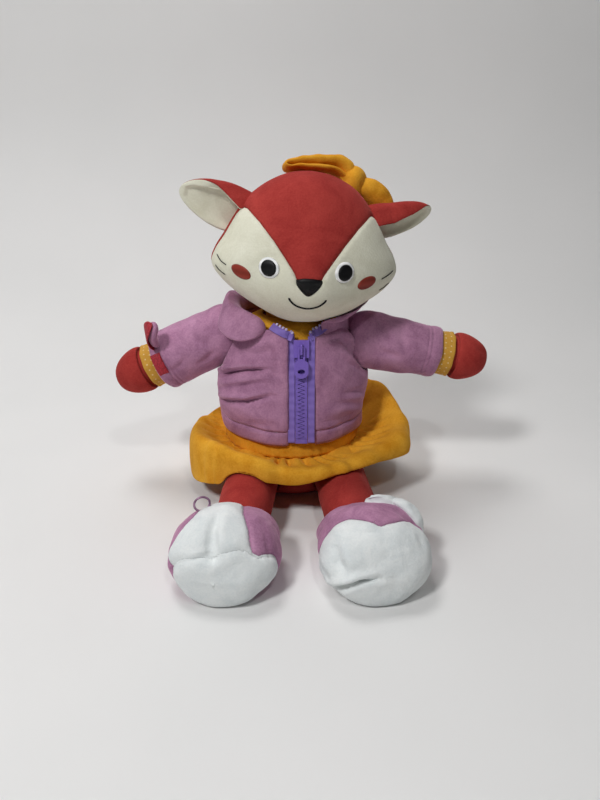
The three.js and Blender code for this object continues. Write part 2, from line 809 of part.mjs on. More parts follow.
// Legs: each group's z axis runs forward along the leg and its y axis points up.
const legHeight = legRadius + legClear;
const legSide = {
  left: { sign: 1, splayDeg: legSplayDegLeft, capStart: shoeSeamLeft, tongueX: tongueOutset },
  right: { sign: -1, splayDeg: legSplayDegRight, capStart: shoeSeamRight, tongueX: -tongueInset },
};

function legForm(grow = 0) {
  const size = { start: -legRadius, end: legLength, halfWidth: legRadius, front: legRadius, back: legRadius };
  return solid(stuffedGeometry(legShares, size, limbFacets, grow));
}

function shoeForm(outset, grow = 0) {
  const size = {
    start: shoeStart, end: shoeStart + shoeLength, halfWidth: shoeHalfWidth, front: legHeight, back: shoeUp,
  };
  const ground = block(-reach, reach, -reach, -legHeight, -reach, reach);
  const form = stuffedGeometry(shoeShares, size, shoeFacets, grow).translate(outset, 0, 0);
  return solid(form).subtract(ground);
}

const legCutters = [];
for (const [side, { sign, splayDeg, capStart, tongueX }] of Object.entries(legSide)) {
  const leg = new THREE.Group();
  leg.position.set(sign * legRootX, legRootY, legHeight);
  leg.rotation.set(Math.PI / 2, 0, sign * degrees(splayDeg), 'ZYX');
  fox.add(leg);
  addPiece(leg, `leg_${side}`, legForm(), red);
  const bore = standing(footRadius + shoeWallGap, shoeLength * boreShare,
    shoeStart + shoeLength * boreShare / 2 - overrun);
  const outset = sign * shoeOutset;
  const shoe = shoeForm(outset).subtract(bore).subtract(legForm(shoeWallGap));
  const cap = block(-reach, reach, -reach, reach, capStart, reach);
  const rest = block(-reach, reach, -reach, reach, -reach, capStart - touchGap);
  const tongueBox = (spread) => block(tongueX - tongueHalfWidth - spread, tongueX + tongueHalfWidth + spread,
    footRadius - tongueDepth / 2 - spread, reach, -reach, reach);
  addPiece(leg, `shoe_toe_cap_${side}`, shoe.intersect(cap), white);
  addPiece(leg, `shoe_tongue_${side}`, shoe.intersect(rest).intersect(tongueBox(0)), white);
  addPiece(leg, `shoe_quarter_${side}`, shoe.intersect(rest).subtract(tongueBox(touchGap)), pink);
  if (side === 'left') {
    const drape = shoeForm(outset, touchGap + tieThickness).subtract(shoeForm(outset, touchGap));
    const tie = frontPrism(oval(tieAcross, laceAlong, tieLength, tieWidth), 0, reach);
    addPiece(leg, 'shoe_tie_left', drape.intersect(tie), white);
  } else {
    const loop = new THREE.TorusGeometry(loopRadius, loopCord / 2, ballFacets, 2 * curveFacets)
      .translate(-loopAcross, loopUp, laceAlong);
    addPiece(leg, 'shoe_loop_right', solid(loop).subtract(shoeForm(outset, touchGap)), pink);
  }
  const outward = new THREE.Vector3(0, 0, sign);
  legCutters.push(socketCutter(leg, legRadius, shoeStart, outward, -legCloseDeg, legSpreadDeg));
}
const legCutter = legCutters[0].add(legCutters[1]);

// Torso, with a flat seat and a neck that the head turns on.
function torsoForm(grow = 0) {
  const size = {
    start: -seatCut,
    end: torsoHeight,
    halfWidth: torsoHalfWidth,
    front: torsoFrontDepth,
    back: torsoBackDepth,
  };
  const form = stuffedGeometry(torsoShares, size, torsoFacets, grow);
  return solid(form.translate(torsoMiddleX, 0, 0));
}

const headSweep = swept(moved(headForm(headSweepGap, headSweepFacets), headMatrix),
  new THREE.Vector3(), new THREE.Vector3(0, 0, 1), -headSwingDeg, headSwingDeg, headSteps);
const neckHeight = neckRise + torsoHeight * neckRootShare;
const neck = standing(neckRadius, neckHeight, neckTop - neckHeight / 2);
const trunk = torsoForm().intersect(block(-reach, reach, -reach, reach, 0, jacketNeckZ));
addPiece(fox, 'torso', trunk.subtract(armCutter).subtract(legCutter).add(neck), red);

// Dress bodice and jacket: shells that follow the torso, open for the limbs.
const neckBite = standing(neckRadius + touchGap, 2 * torsoHeight, torsoHeight);
const dressSkin = dressGap + dressThickness;
const bodice = torsoForm(dressSkin).subtract(torsoForm(dressGap))
  .intersect(block(-reach, reach, -reach, reach, waistZ, dressNeckZ));
addPiece(fox, 'dress_bodice',
  bodice.subtract(armCutter).subtract(legCutter).subtract(neckBite), yellow);

const jacketInside = dressSkin + touchGap;
const jacketOutside = jacketInside + jacketThickness;
const zip = new THREE.Group();
const zipLength = Math.hypot(zipTopZ - hemZ, zipTopY - zipBottomY);
zip.position.set(zipX, zipBottomY, hemZ);
zip.rotation.set(-Math.atan2(zipTopY - zipBottomY, zipTopZ - hemZ), 0, 0);
fox.add(zip);
const zipMatrix = matrixOf(zip);
const zipSlot = moved(block(-zipTapeWidth / 2 - touchGap, zipTapeWidth / 2 + touchGap,
  -reach, 2 * jacketOutside, -overrun * 2, zipLength * 2), zipMatrix);

const neckV = new THREE.Shape();
neckV.moveTo(zipX, zipTopZ);
neckV.lineTo(zipX + neckVWidth, zipTopZ + neckVRise);
neckV.lineTo(zipX - neckVWidth, zipTopZ + neckVRise);
const neckOpening = frontPrism(neckV, -reach, 0);
const jacketShell = torsoForm(jacketOutside).subtract(torsoForm(jacketInside))
  .subtract(armCutter).subtract(neckOpening);
const hemTop = hemZ + hemBandHeight;
const bodyBand = block(-reach, reach, -reach, reach, hemTop + touchGap, jacketNeckZ);
const hemBand = block(-reach, reach, -reach, reach, hemZ, hemTop);
const backHalf = block(-reach, reach, sideSeamY, reach, 0, reach);
const frontLeft = block(zipX, reach, -reach, sideSeamY - touchGap, 0, reach).subtract(zipSlot);
const frontRight = block(-reach, zipX, -reach, sideSeamY - touchGap, 0, reach).subtract(zipSlot);
for (const [name, half] of [['back', backHalf], ['front_left', frontLeft], ['front_right', frontRight]]) {
  addPiece(fox, `jacket_${name}`, jacketShell.intersect(bodyBand).intersect(half), pink);
  addPiece(fox, `jacket_hem_${name}`, jacketShell.intersect(hemBand).intersect(half), pink);
}

// Collar: a wedge-shaped ring round the neck, highest at the sides, open in front with two lobes.
const collarRing = new THREE.LatheGeometry(
  [0, 1, 2, 3, 0].map((corner) => new THREE.Vector2(1, corner)), collarFacets);
const collarPlace = collarRing.getAttribute('position');
for (let i = 0; i < collarPlace.count; i += 1) {
  const [across, deep] = [collarPlace.getX(i), -collarPlace.getZ(i)];
  const corner = Math.round(collarPlace.getY(i));
  const lobe = deep < 0 ? 1 + lobeShare * (2 * across * deep) ** 2 : 1;
  const outerHalf = collarHalfWidth * lobe;
  const outerDepth = (deep < 0 ? collarFrontDepth : collarBackDepth) * lobe;
  const dip = 1 - (1 - deep * deep) ** 2;
  const outerZ = across * collarSkew
    + THREE.MathUtils.lerp(collarSideZ, deep < 0 ? collarFrontZ : collarBackZ, dip);
  const crestZ = THREE.MathUtils.lerp(collarCrestZ, deep < 0 ? collarFrontCrestZ : collarSideZ, deep * deep);
  const corners = [
    [collarNeckHalfWidth, collarNeckDepth, collarRootZ],
    [outerHalf, outerDepth, outerZ - collarEdge],
    [outerHalf, outerDepth, outerZ],
    [collarNeckHalfWidth + collarEdge, collarNeckDepth + collarEdge / 2, crestZ],
  ];
  const [half, depth, z] = corners[corner];
  collarPlace.setXYZ(i, across * half, deep * depth, z);
}
const collarGap = block(zipX - collarFrontGap, zipX + collarFrontGap, -reach, 0, 0, reach);
const openTapeSkin = jacketOutside + touchGap;
const tapeLayer = torsoForm(openTapeSkin + zipTapeThickness).subtract(torsoForm(openTapeSkin));
const collar = solid(collarRing).subtract(torsoForm(openTapeSkin)).subtract(armCutter).subtract(headSweep)
  .subtract(collarGap);
addPiece(fox, 'collar', collar, pink);

// Zip: straight tapes, two rows of teeth that mesh, a stop, a slider with a bridge, and its pull.
const spineInner = toothReach + toothShift + touchGap;
const spineOuter = spineInner + toothSpine;
const teethStart = stopHeight + touchGap;
const toothCount = Math.floor((zipLength - teethStart) / toothPitch);
const teethEnd = teethStart + toothCount * toothPitch;

// One row: a straight outer edge, and a zigzag inner edge shifted off the other row's.
function toothRow(sign) {
  const outline = new THREE.Shape();
  outline.moveTo(sign * spineOuter, teethStart);
  for (let half = 0; half <= 2 * toothCount; half += 1) {
    const swing = half % 2 === 0 ? -toothReach : toothReach;
    outline.lineTo(swing + sign * toothShift, teethStart + (half * toothPitch) / 2);
  }
  outline.lineTo(sign * spineOuter, teethEnd);
  return frontPrism(outline, -toothDepth, 0);
}

const tapeBite = moved(block(-zipTapeWidth / 2 - touchGap, zipTapeWidth / 2 + touchGap,
  -reach, reach, -reach, zipLength + touchGap), zipMatrix);
addPiece(zip, 'zip_teeth_left', toothRow(1), purple, toothRoughness);
addPiece(zip, 'zip_teeth_right', toothRow(-1), purple, toothRoughness);
addPiece(zip, 'zip_bottom_stop', block(-spineOuter, spineOuter, -toothDepth, 0, 0, stopHeight), purple,
  toothRoughness);
for (const [side, sign] of [['left', 1], ['right', -1]]) {
  const edges = [sign * (spineOuter + touchGap), sign * zipTapeWidth / 2].sort((a, b) => a - b);
  addPiece(zip, `zip_tape_${side}`,
    block(edges[0], edges[1], -zipTapeThickness, 0, 0, zipLength), purple);
  const strip = new THREE.Shape();
  const start = new THREE.Vector2(
    zipX + sign * openTapeStart, zipTopZ + openTapeStart * neckVRise / neckVWidth);
  const run = new THREE.Vector2(sign * neckVWidth, neckVRise).normalize();
  const down = new THREE.Vector2(sign * neckVRise, -neckVWidth).normalize().multiplyScalar(openTapeWidth);
  const lift = down.clone().multiplyScalar(-touchGap / openTapeWidth);
  start.sub(lift);
  const end = start.clone().addScaledVector(run, openTapeLength);
  strip.setFromPoints([start, end, end.clone().add(down), start.clone().add(down)]);
  addPiece(fox, `zip_open_tape_${side}`,
    tapeLayer.intersect(frontPrism(strip, -reach, 0)).subtract(tapeBite).subtract(collar).subtract(headSweep),
    purple);
}

// Slider: a channel over the teeth, with an arch on its front that the pull's bar hangs in.
const lipInner = spineOuter + touchGap;
const plateInner = toothDepth + touchGap;
const plateOuter = plateInner + sliderWall;
const lipReach = zipTapeThickness + touchGap;
const channel = block(-sliderWidth / 2, sliderWidth / 2, -plateOuter, -lipReach, 0, sliderLength)
  .subtract(block(-lipInner, lipInner, -plateInner, 0, -overrun, sliderLength + overrun));
const archHoleDepth = pullThickness + 3 * touchGap;
const archHoleHeight = 2 * pullThickness + 2 * touchGap;
const archBottom = (sliderLength - archHoleHeight) / 2 - bridgeThickness;
const archTop = archBottom + archHoleHeight + 2 * bridgeThickness;
const arch = block(-bridgeThickness / 2, bridgeThickness / 2,
  -plateOuter - archHoleDepth - bridgeThickness, -plateOuter, archBottom, archTop)
  .subtract(block(-reach, reach, -plateOuter - archHoleDepth, 0,
    archBottom + bridgeThickness, archTop - bridgeThickness));
const slider = new THREE.Group();
slider.position.set(0, 0, teethEnd - sliderLength);
zip.add(slider);
addPiece(slider, 'zip_slider', channel.add(arch), purple, metalRoughness, metalShine);

const pull = new THREE.Group();
pull.position.set(0, -plateOuter - archHoleDepth / 2,
  archTop - bridgeThickness - touchGap - pullThickness / 2);
slider.add(pull);
const pullTop = pullThickness / 2;
const slotHalf = bridgeThickness / 2 + jointGap;
const neckEnd = -pullLength + pullWidth * pullHeadShare;
const slotEnd = neckEnd + pullThickness;
const pullOutline = new THREE.Shape();
pullOutline.moveTo(-pullNeckWidth / 2, pullTop);
pullOutline.lineTo(-pullNeckWidth / 2, neckEnd);
pullOutline.quadraticCurveTo(-pullWidth / 2, neckEnd, -pullWidth / 2, neckEnd - pullWidth / 3);
pullOutline.absarc(0, -pullLength + pullWidth / 2, pullWidth / 2, Math.PI, 2 * Math.PI, false);
pullOutline.lineTo(pullWidth / 2, neckEnd - pullWidth / 3);
pullOutline.quadraticCurveTo(pullWidth / 2, neckEnd, pullNeckWidth / 2, neckEnd);
pullOutline.lineTo(pullNeckWidth / 2, pullTop);
const pullSlot = new THREE.Path();
pullSlot.setFromPoints([
  new THREE.Vector2(-slotHalf, -pullTop), new THREE.Vector2(slotHalf, -pullTop),
  new THREE.Vector2(slotHalf, slotEnd), new THREE.Vector2(-slotHalf, slotEnd),
]);
pullOutline.holes.push(pullSlot);
pullOutline.holes.push(
  new THREE.Path(ovalPoints(0, -pullLength + pullWidth / 2, pullHoleWidth, pullHoleHeight)));
addPiece(pull, 'zip_pull', frontPrism(pullOutline, -pullThickness / 2, pullThickness / 2), purple,
  metalRoughness, metalShine);

// Skirt: one closed sheet, sewn round the waist, that rises to a crest and falls to its hem. In front it
// lies over the legs, and behind it is pushed up by the ground.
const skirtRound = new THREE.CatmullRomCurve3(
  skirtShares.map(([, reachShare, crest, hem]) => new THREE.Vector3(reachShare, crest, hem)), true,
  'catmullrom', 0.5);
const skirtTurn = [...skirtShares.map(([turn]) => turn), 1];
function skirtRow(turn) {
  const after = skirtTurn.findIndex((share) => share > turn);
  const from = after - 1;
  const part = (turn - skirtTurn[from]) / (skirtTurn[after] - skirtTurn[from]);
  return skirtRound.getPoint((from + part) / skirtShares.length);
}
const skirtSheet = new THREE.LatheGeometry(
  sheetShares.map((row, place) => new THREE.Vector2(1, place % (sheetShares.length - 1))), skirtFacets);
const skirtPlace = skirtSheet.getAttribute('position');
const sheetZ = waistZ - skirtThickness / 2 - touchGap;
for (let i = 0; i < skirtPlace.count; i += 1) {
  const [across, deep] = [skirtPlace.getX(i), -skirtPlace.getZ(i)];
  const [out, toCrest, toHem, thick] = sheetShares[Math.round(skirtPlace.getY(i))];
  const turn = (Math.atan2(deep, across) / (2 * Math.PI) + 1) % 1;
  const row = skirtRow(turn);
  const inner = new THREE.Vector2(
    torsoMiddleX + across * (torsoHalfWidth + jointGap),
    deep * ((deep < 0 ? torsoFrontDepth : torsoBackDepth) + jointGap));
  const outer = new THREE.Vector2(
    skirtMiddleX + across * skirtHalfWidth * row.x,
    skirtMiddleY + deep * (deep < 0 ? skirtFrontDepth : skirtBackDepth) * row.x);
  const z = sheetZ + toCrest * (row.y * skirtCrestZ - sheetZ) + toHem * (row.z * skirtHemZ - sheetZ)
    + thick * skirtThickness;
  const spot = inner.lerp(outer, out);
  skirtPlace.setXYZ(i, spot.x, spot.y, z);
}
const skirtWaist = torsoForm(dressSkin + touchGap)
  .intersect(block(-reach, reach, -reach, reach, sheetZ, reach));
const skirt = solid(skirtSheet).subtract(legCutter).subtract(torsoForm(touchGap)).subtract(skirtWaist);
addPiece(fox, 'skirt', skirt, yellow);

export default fox;
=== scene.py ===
import math

import bpy
import numpy as np
from mathutils import Matrix, Vector, kdtree, noise
from mathutils.bvhtree import BVHTree


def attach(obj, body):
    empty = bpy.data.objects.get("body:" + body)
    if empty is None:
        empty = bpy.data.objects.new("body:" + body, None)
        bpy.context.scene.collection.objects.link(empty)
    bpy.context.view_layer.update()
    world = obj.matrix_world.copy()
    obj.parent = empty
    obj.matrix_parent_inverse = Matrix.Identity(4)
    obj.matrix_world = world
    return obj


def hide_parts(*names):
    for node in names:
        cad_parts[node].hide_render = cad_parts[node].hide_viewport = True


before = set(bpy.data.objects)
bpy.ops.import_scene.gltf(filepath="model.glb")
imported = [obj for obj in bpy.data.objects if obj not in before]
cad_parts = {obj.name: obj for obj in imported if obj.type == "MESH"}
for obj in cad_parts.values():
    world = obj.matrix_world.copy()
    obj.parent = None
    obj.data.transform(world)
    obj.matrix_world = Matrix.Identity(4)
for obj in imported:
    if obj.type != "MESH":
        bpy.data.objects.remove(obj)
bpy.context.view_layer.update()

# The camera stands half a metre in front of the doll, a little above its head, and looks down at it.
# Sizes are in millimetres unless a comment says otherwise, and angles in degrees.
camera_place = np.array([3.0, -488.0, 286.0])
camera_tilt = 66
lens, sensor = 29, 36
view_width, view_height = 600, 800
bpy.ops.object.select_all(action="DESELECT")
bpy.ops.object.camera_add(location=(camera_place / 1000).tolist(), rotation=(math.radians(camera_tilt), 0, 0))
camera = bpy.context.object
camera.name = "front_camera"
camera.data.lens = lens
camera.data.sensor_width = sensor
camera.data.clip_start = 0.01
bpy.context.scene.camera = camera
look_down = math.radians(90 - camera_tilt)
look_along = np.array([0, math.cos(look_down), -math.sin(look_down)])
look_up = np.array([0, math.sin(look_down), math.cos(look_down)])


def seen_at(co):
    """Where points show in the camera's view, in its pixels across and down."""
    away = co - camera_place
    size = lens / sensor * view_height / (away @ look_along)
    return np.stack([view_width / 2 + size * away[:, 0], view_height / 2 - size * (away @ look_up)], 1)


# The doll sits on a sweep of white paper that curves up behind it, as on a photographer's table.
# It is lit by a broad light above it, a strong lamp at the left in front and a weak one at the right.
def linear(code):
    """A #rrggbb colour as the linear colour that the shaders take."""
    parts = [int(code[i:i + 2], 16) / 255 for i in (1, 3, 5)]
    return (*[c / 12.92 if c <= 0.04045 else ((c + 0.055) / 1.055) ** 2.4 for c in parts], 1)


def add_node(tree, kind, inputs=None, **settings):
    """Adds a shader node; inputs are values, or other nodes' outputs to link."""
    made = tree.nodes.new("ShaderNode" + kind)
    for key, value in settings.items():
        setattr(made, key, value)
    for key, value in (inputs or {}).items():
        if isinstance(value, bpy.types.NodeSocket):
            tree.links.new(value, made.inputs[key])
        else:
            made.inputs[key].default_value = value
    return made


def blank_material(name):
    """A new material, with its node tree, its shader and its object coordinates."""
    made = bpy.data.materials.new(name)
    made.use_nodes = True
    tree = made.node_tree
    where = add_node(tree, "TexCoord").outputs["Object"]
    return made, tree, tree.nodes["Principled BSDF"], where


# The paper's sizes are in metres: it lies flat up to the bend, then curves up into a wall.
paper_width, paper_length, paper_front = 3.4, 3.2, -1.1
bend_from, bend_radius = 0.16, 0.34
bpy.ops.mesh.primitive_grid_add(x_subdivisions=8, y_subdivisions=60, size=1)
sweep = bpy.context.object
sweep.name = "paper_sweep"
for point in sweep.data.vertices:
    run = (point.co.y + 0.5) * paper_length + paper_front
    bend = max(0.0, run - bend_from) / bend_radius
    if bend < math.pi / 2:
        back = run if bend == 0 else bend_from + bend_radius * math.sin(bend)
        rise = bend_radius * (1 - math.cos(bend))
    else:
        back = bend_from + bend_radius
        rise = bend_radius + (bend - math.pi / 2) * bend_radius
    point.co = (point.co.x * paper_width, back, rise)
bpy.ops.object.shade_smooth()
# Matt coated paper: one even white with a faint cloudiness, and no gloss.
paper, tree, shader, where = blank_material("matt_white_paper")
cloud = add_node(tree, "TexNoise", {"Vector": where, "Scale": 6.0})
tint = add_node(tree, "Mix", {0: cloud.outputs["Fac"], 6: linear("#E6E6E5"), 7: linear("#EFEEED")},
                data_type="RGBA")
tree.links.new(tint.outputs[2], shader.inputs["Base Color"])
shader.inputs["Roughness"].default_value = 0.9
sweep.data.materials.append(paper)

# Each light has its place and its size in metres, its turn in degrees and its power in watts.
for name, place, turn, size, power in [
    ("ceiling_light", (-0.35, 0.3, 1.5), (-12, 0, -14), 0.5, 7.6),
    ("left_lamp", (-0.56, -0.8, 1.12), (44, 0, -35), 0.2, 8.9),
    ("right_lamp", (0.24, -0.8, 1.15), (40, 0, 17), 0.08, 1.8),
]:
    bpy.ops.object.light_add(type="AREA", location=place, rotation=[math.radians(a) for a in turn])
    light = bpy.context.object
    light.name = name
    light.data.size = size
    light.data.energy = power
room = bpy.data.worlds.new("pale_room")
room.use_nodes = True
room.node_tree.nodes["Background"].inputs["Color"].default_value = linear("#E9EAEC")
room.node_tree.nodes["Background"].inputs["Strength"].default_value = 0.045
bpy.context.scene.world = room
bpy.context.scene.view_settings.view_transform = "Standard"


# The body is a red velour bag stuffed with polyester fibre, with a flat seat and a neck stub that goes
# up into the head. The dress hides nearly all of it.
def velour(name, colour, deep, blotch_mm, sheen):
    """Short-pile knitted velour: the brushed nap lies in soft patches, and the pile is a fine grain."""
    made, tree, shader, where = blank_material(name)
    nap = add_node(tree, "TexNoise", {"Vector": where, "Scale": 1000 / blotch_mm, "Detail": 4.0,
                                      "Roughness": 0.6, "Distortion": 0.6})
    # Real pile is a few tenths of a millimetre thick; its grain is drawn coarser so that it shows.
    grain_mm = 1.3
    pile = add_node(tree, "TexNoise", {"Vector": where, "Scale": 1000 / grain_mm, "Detail": 3.0})
    mixed = add_node(tree, "Math", {0: pile.outputs["Fac"], 1: 0.45, 2: nap.outputs["Fac"]},
                     operation="MULTIPLY_ADD")
    share = add_node(tree, "MapRange", {0: mixed.outputs[0], 1: 0.5, 2: 0.95})
    tone = add_node(tree, "Mix", {0: share.outputs[0], 6: linear(deep), 7: linear(colour)},
                    data_type="RGBA")
    tree.links.new(tone.outputs[2], shader.inputs["Base Color"])
    bump = add_node(tree, "Bump", {"Strength": 0.55, "Distance": 0.0006, "Height": pile.outputs["Fac"]})
    tree.links.new(bump.outputs[0], shader.inputs["Normal"])
    shader.inputs["Roughness"].default_value = 0.95
    shader.inputs["Specular IOR Level"].default_value = 0.15
    shader.inputs["Sheen Weight"].default_value = sheen
    shader.inputs["Sheen Roughness"].default_value = 0.35
    shader.inputs["Sheen Tint"].default_value = [c ** 0.6 for c in linear(colour)[:3]] + [1]
    return made


def points_of(piece):
    """A mesh's points in millimetres."""
    co = np.empty(len(piece.data.vertices) * 3)
    piece.data.vertices.foreach_get("co", co)
    return co.reshape(-1, 3) * 1000


def put_points(piece, co):
    """Moves a mesh's points to places in millimetres."""
    piece.data.vertices.foreach_set("co", (co / 1000).ravel())
    piece.data.update()


def through_four(a, b, c, d, u):
    """The place at share u between b and c, on the smooth curve through all four."""
    return 0.5 * (2 * b + (c - a) * u + (2 * a - 5 * b + 4 * c - d) * u ** 2
                  + (3 * b - a - 3 * c + d) * u ** 3)


def curve_through(rows, at):
    """A smooth curve through the rows, at shares from 0 to 1 along them."""
    rows = np.array(rows, float)
    ends = np.vstack([2 * rows[0] - rows[1], rows, 2 * rows[-1] - rows[-2]])
    step = np.clip(at, 0, 1) * (len(rows) - 1)
    i = np.minimum(step.astype(int), len(rows) - 2)
    u = (step - i)[:, None]
    a, b, c, d = ends[i], ends[i + 1], ends[i + 2], ends[i + 3]
    return through_four(a, b, c, d, u)


def stuffed_points(unit, rows, start, end, half, front, back, grow=0.0):
    """A unit ball's points moved to a stuffed form whose ovals are given along its own z axis."""
    share = np.arccos(np.clip(-unit[:, 2], -1, 1)) / math.pi
    ring = np.maximum(np.hypot(unit[:, 0], unit[:, 1]), 1e-9)
    across, deep = unit[:, 0] / ring, unit[:, 1] / ring
    row = curve_through(rows, share)
    row[:, 1:] = np.maximum(row[:, 1:], 0) * (ring > 1e-6)[:, None]
    depth = np.where(deep < 0, row[:, 2] * front, row[:, 3] * back)
    open_ring = (row[:, 1] > 0) * grow
    height = start - grow + (end - start + 2 * grow) * row[:, 0]
    return np.stack([across * (row[:, 1] * half + open_ring), deep * (depth + open_ring), height], 1)


def ball(name, segments, rings):
    """A closed ball of radius one, to be moved to a stuffed form."""
    bpy.ops.object.select_all(action="DESELECT")
    bpy.ops.mesh.primitive_uv_sphere_add(segments=segments, ring_count=rings, radius=0.001)
    bpy.context.object.name = name
    return bpy.context.object


def placed(co, matrix):
    """Points moved by a matrix in millimetres."""
    matrix = np.array(matrix)
    return co @ matrix[:3, :3].T + matrix[:3, 3]


def select_only(piece):
    """Makes a piece the only one that the operators act on."""
    bpy.ops.object.select_all(action="DESELECT")
    piece.select_set(True)
    bpy.context.view_layer.objects.active = piece


def mended(piece, merge=0.0, outward=True):
    """Joins a mesh's points that lie nearer than merge, and turns its faces outwards."""
    select_only(piece)
    bpy.ops.object.mode_set(mode="EDIT")
    bpy.ops.mesh.select_all(action="SELECT")
    if merge:
        bpy.ops.mesh.remove_doubles(threshold=merge / 1000)
    if outward:
        bpy.ops.mesh.normals_make_consistent(inside=False)
    bpy.ops.object.mode_set(mode="OBJECT")


def finished(piece, material, body, slot, *nodes, fill=None):
    """Smooth shading, material and what the piece stands for, once its mesh is final."""
    piece.data.materials.clear()
    piece.data.materials.append(material)
    select_only(piece)
    bpy.ops.object.shade_smooth()
    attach(piece, body)
    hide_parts(*nodes)


def copy_of(node, name):
    """A copy of a CAD solid with its loose triangles joined, as a start for a soft piece."""
    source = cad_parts[node]
    made = bpy.data.objects.new(name, source.data.copy())
    bpy.context.collection.objects.link(made)
    mended(made, merge=0.01, outward=False)
    return made


def swell(piece, voxel, cap):
    """Remeshes a closed pad and lets its filling press the cloth out, by no more than the cap."""
    select_only(piece)
    piece.data.remesh_voxel_size = voxel / 1000
    bpy.ops.object.voxel_remesh()
    before = points_of(piece)
    cloth = piece.modifiers.new("filling", "CLOTH")
    cloth.settings.use_pressure = True
    cloth.settings.uniform_pressure_force = 4
    cloth.settings.effector_weights.gravity = 0
    for step in range(1, 21):
        bpy.context.scene.frame_set(step)
    bpy.ops.object.modifier_apply(modifier="filling")
    move = points_of(piece) - before
    far = np.maximum(np.linalg.norm(move, axis=1), 1e-9)
    put_points(piece, before + move * (np.minimum(far, cap) / far)[:, None])
    bpy.context.scene.frame_set(1)


red_velour = velour("red_velour", "#B2403A", "#962D2A", 24, 0.35)
torso = copy_of("torso", "stuffed_torso")
swell(torso, voxel=4, cap=0.3)
finished(torso, red_velour, "body", "red", "torso", fill=0.8)


# The head is one stuffed bag: a red velour crown, blaze and back, and a cream velour panel over the
# cheeks and chin. The panels are sewn edge to edge, so each seam sinks a little between them.
head_rows = [
    (0, 0, 0, 0), (0.016, 0.2, 0.3, 0.3), (0.05, 0.36, 0.52, 0.52), (0.12, 0.57, 0.75, 0.74),
    (0.2, 0.75, 0.89, 0.88), (0.285, 0.91, 0.975, 0.96), (0.375, 1, 1, 0.99), (0.47, 0.965, 0.99, 1),
    (0.57, 0.87, 0.93, 0.98), (0.665, 0.785, 0.85, 0.93), (0.76, 0.69, 0.74, 0.84),
    (0.855, 0.56, 0.6, 0.71), (0.93, 0.41, 0.44, 0.54), (0.98, 0.23, 0.25, 0.32), (1, 0, 0, 0),
]
blaze_rows = [(-23, 0), (-16, 7.2), (-12.5, 8.8), (-8.7, 10.7), (-1, 16.6), (8.7, 24.8), (18.4, 34.5),
              (26.5, 45.5), (30, 58), (60, 160)]
side_seam = 4
corner_round = 16
neck_radius, neck_top = 24, 170
muzzle_up, muzzle_spread, muzzle_out, muzzle_depth = -19, 19, 9, 26
eye_x, eye_up, eye_ring = {"left": 24, "right": -26.8}, -8.4, 7.1
head_place = (Matrix.Translation((7, -8, 198)) @ Matrix.Rotation(math.radians(3), 4, "Z")
              @ Matrix.Rotation(math.radians(4), 4, "Y"))


def arrays_of(piece):
    """A piece's points in millimetres and its triangles; the piece itself is used up."""
    mesh = piece.data
    mesh.calc_loop_triangles()
    tris = np.empty(len(mesh.loop_triangles) * 3, int)
    mesh.loop_triangles.foreach_get("vertices", tris)
    co = points_of(piece)
    bpy.data.objects.remove(piece)
    return co, tris.reshape(-1, 3)


def normals_of(co, tris):
    """Each point's outward direction."""
    face = np.cross(co[tris[:, 1]] - co[tris[:, 0]], co[tris[:, 2]] - co[tris[:, 0]])
    total = np.zeros_like(co)
    for corner in range(3):
        np.add.at(total, tris[:, corner], face)
    return total / np.maximum(np.linalg.norm(total, axis=1), 1e-12)[:, None]


def sew(co, tris, field):
    """Moves the nearest points onto the line where the field is zero, so that a seam runs along edges."""
    value = field(co)
    edges = np.vstack([tris[:, [0, 1]], tris[:, [1, 2]], tris[:, [2, 0]]])
    edges = np.unique(np.sort(edges, axis=1), axis=0)
    a, b = edges[value[edges[:, 0]] * value[edges[:, 1]] < 0].T
    share = value[a] / (value[a] - value[b])
    near, far = np.where(share < 0.5, a, b), np.where(share < 0.5, b, a)
    move = np.minimum(share, 1 - share)
    order = np.argsort(-move)
    target = co.copy()
    target[near[order]] = co[near[order]] + move[order, None] * (co[far[order]] - co[near[order]])
    co[:] = target
    value[near] = 0
    return value


def inside(value, tris):
    """Which faces lie where a seam's field is below zero."""
    corner = value[tris]
    return corner[np.arange(len(tris)), np.abs(corner).argmax(1)] < 0


def far_from(co, seam):
    """Each point's distance to the nearest of the seam's points."""
    tree = kdtree.KDTree(len(seam))
    for i, point in enumerate(seam):
        tree.insert(point, i)
    tree.balance()
    return np.array([tree.find(point)[2] for point in co])


def sink(co, tris, seam, depth, width, pull, spread=7.0):
    """Draws the cloth in along a seam: a narrow groove, and a soft dip on both sides of it."""
    off = far_from(co, seam)
    dip = depth * np.exp(-(off / width) ** 2) + pull * np.exp(-(off / spread) ** 2)
    co -= normals_of(co, tris) * dip[:, None]


def ripple(co, tris, size, height, seed):
    """Soft unevenness of the filling under the cloth."""
    shift = Vector((seed * 7.3, seed * 3.1, seed * 5.7))
    lump = np.array([noise.noise(Vector(point) / size + shift) for point in co])
    co += normals_of(co, tris) * (lump * height)[:, None]


def new_piece(name, co, faces):
    """A new object from its points and faces."""
    mesh = bpy.data.meshes.new(name)
    mesh.from_pydata((co / 1000).tolist(), [], faces)
    piece = bpy.data.objects.new(name, mesh)
    bpy.context.collection.objects.link(piece)
    return piece


def give_wall(piece, wall, offset=-1):
    """Gives a sheet its thickness, inwards, or half to each side where the offset is 0."""
    select_only(piece)
    modifier = piece.modifiers.new("wall", "SOLIDIFY")
    modifier.thickness = wall / 1000
    modifier.offset = offset
    bpy.ops.object.modifier_apply(modifier="wall")


def cut_piece(name, co, tris, keep=slice(None), wall=0.0):
    """A new piece from a form's faces, or some of them, with its cloth given a thickness inwards."""
    used, index = np.unique(tris[keep], return_inverse=True)
    piece = new_piece(name, co[used], index.reshape(-1, 3).tolist())
    if wall:
        give_wall(piece, wall)
    return piece


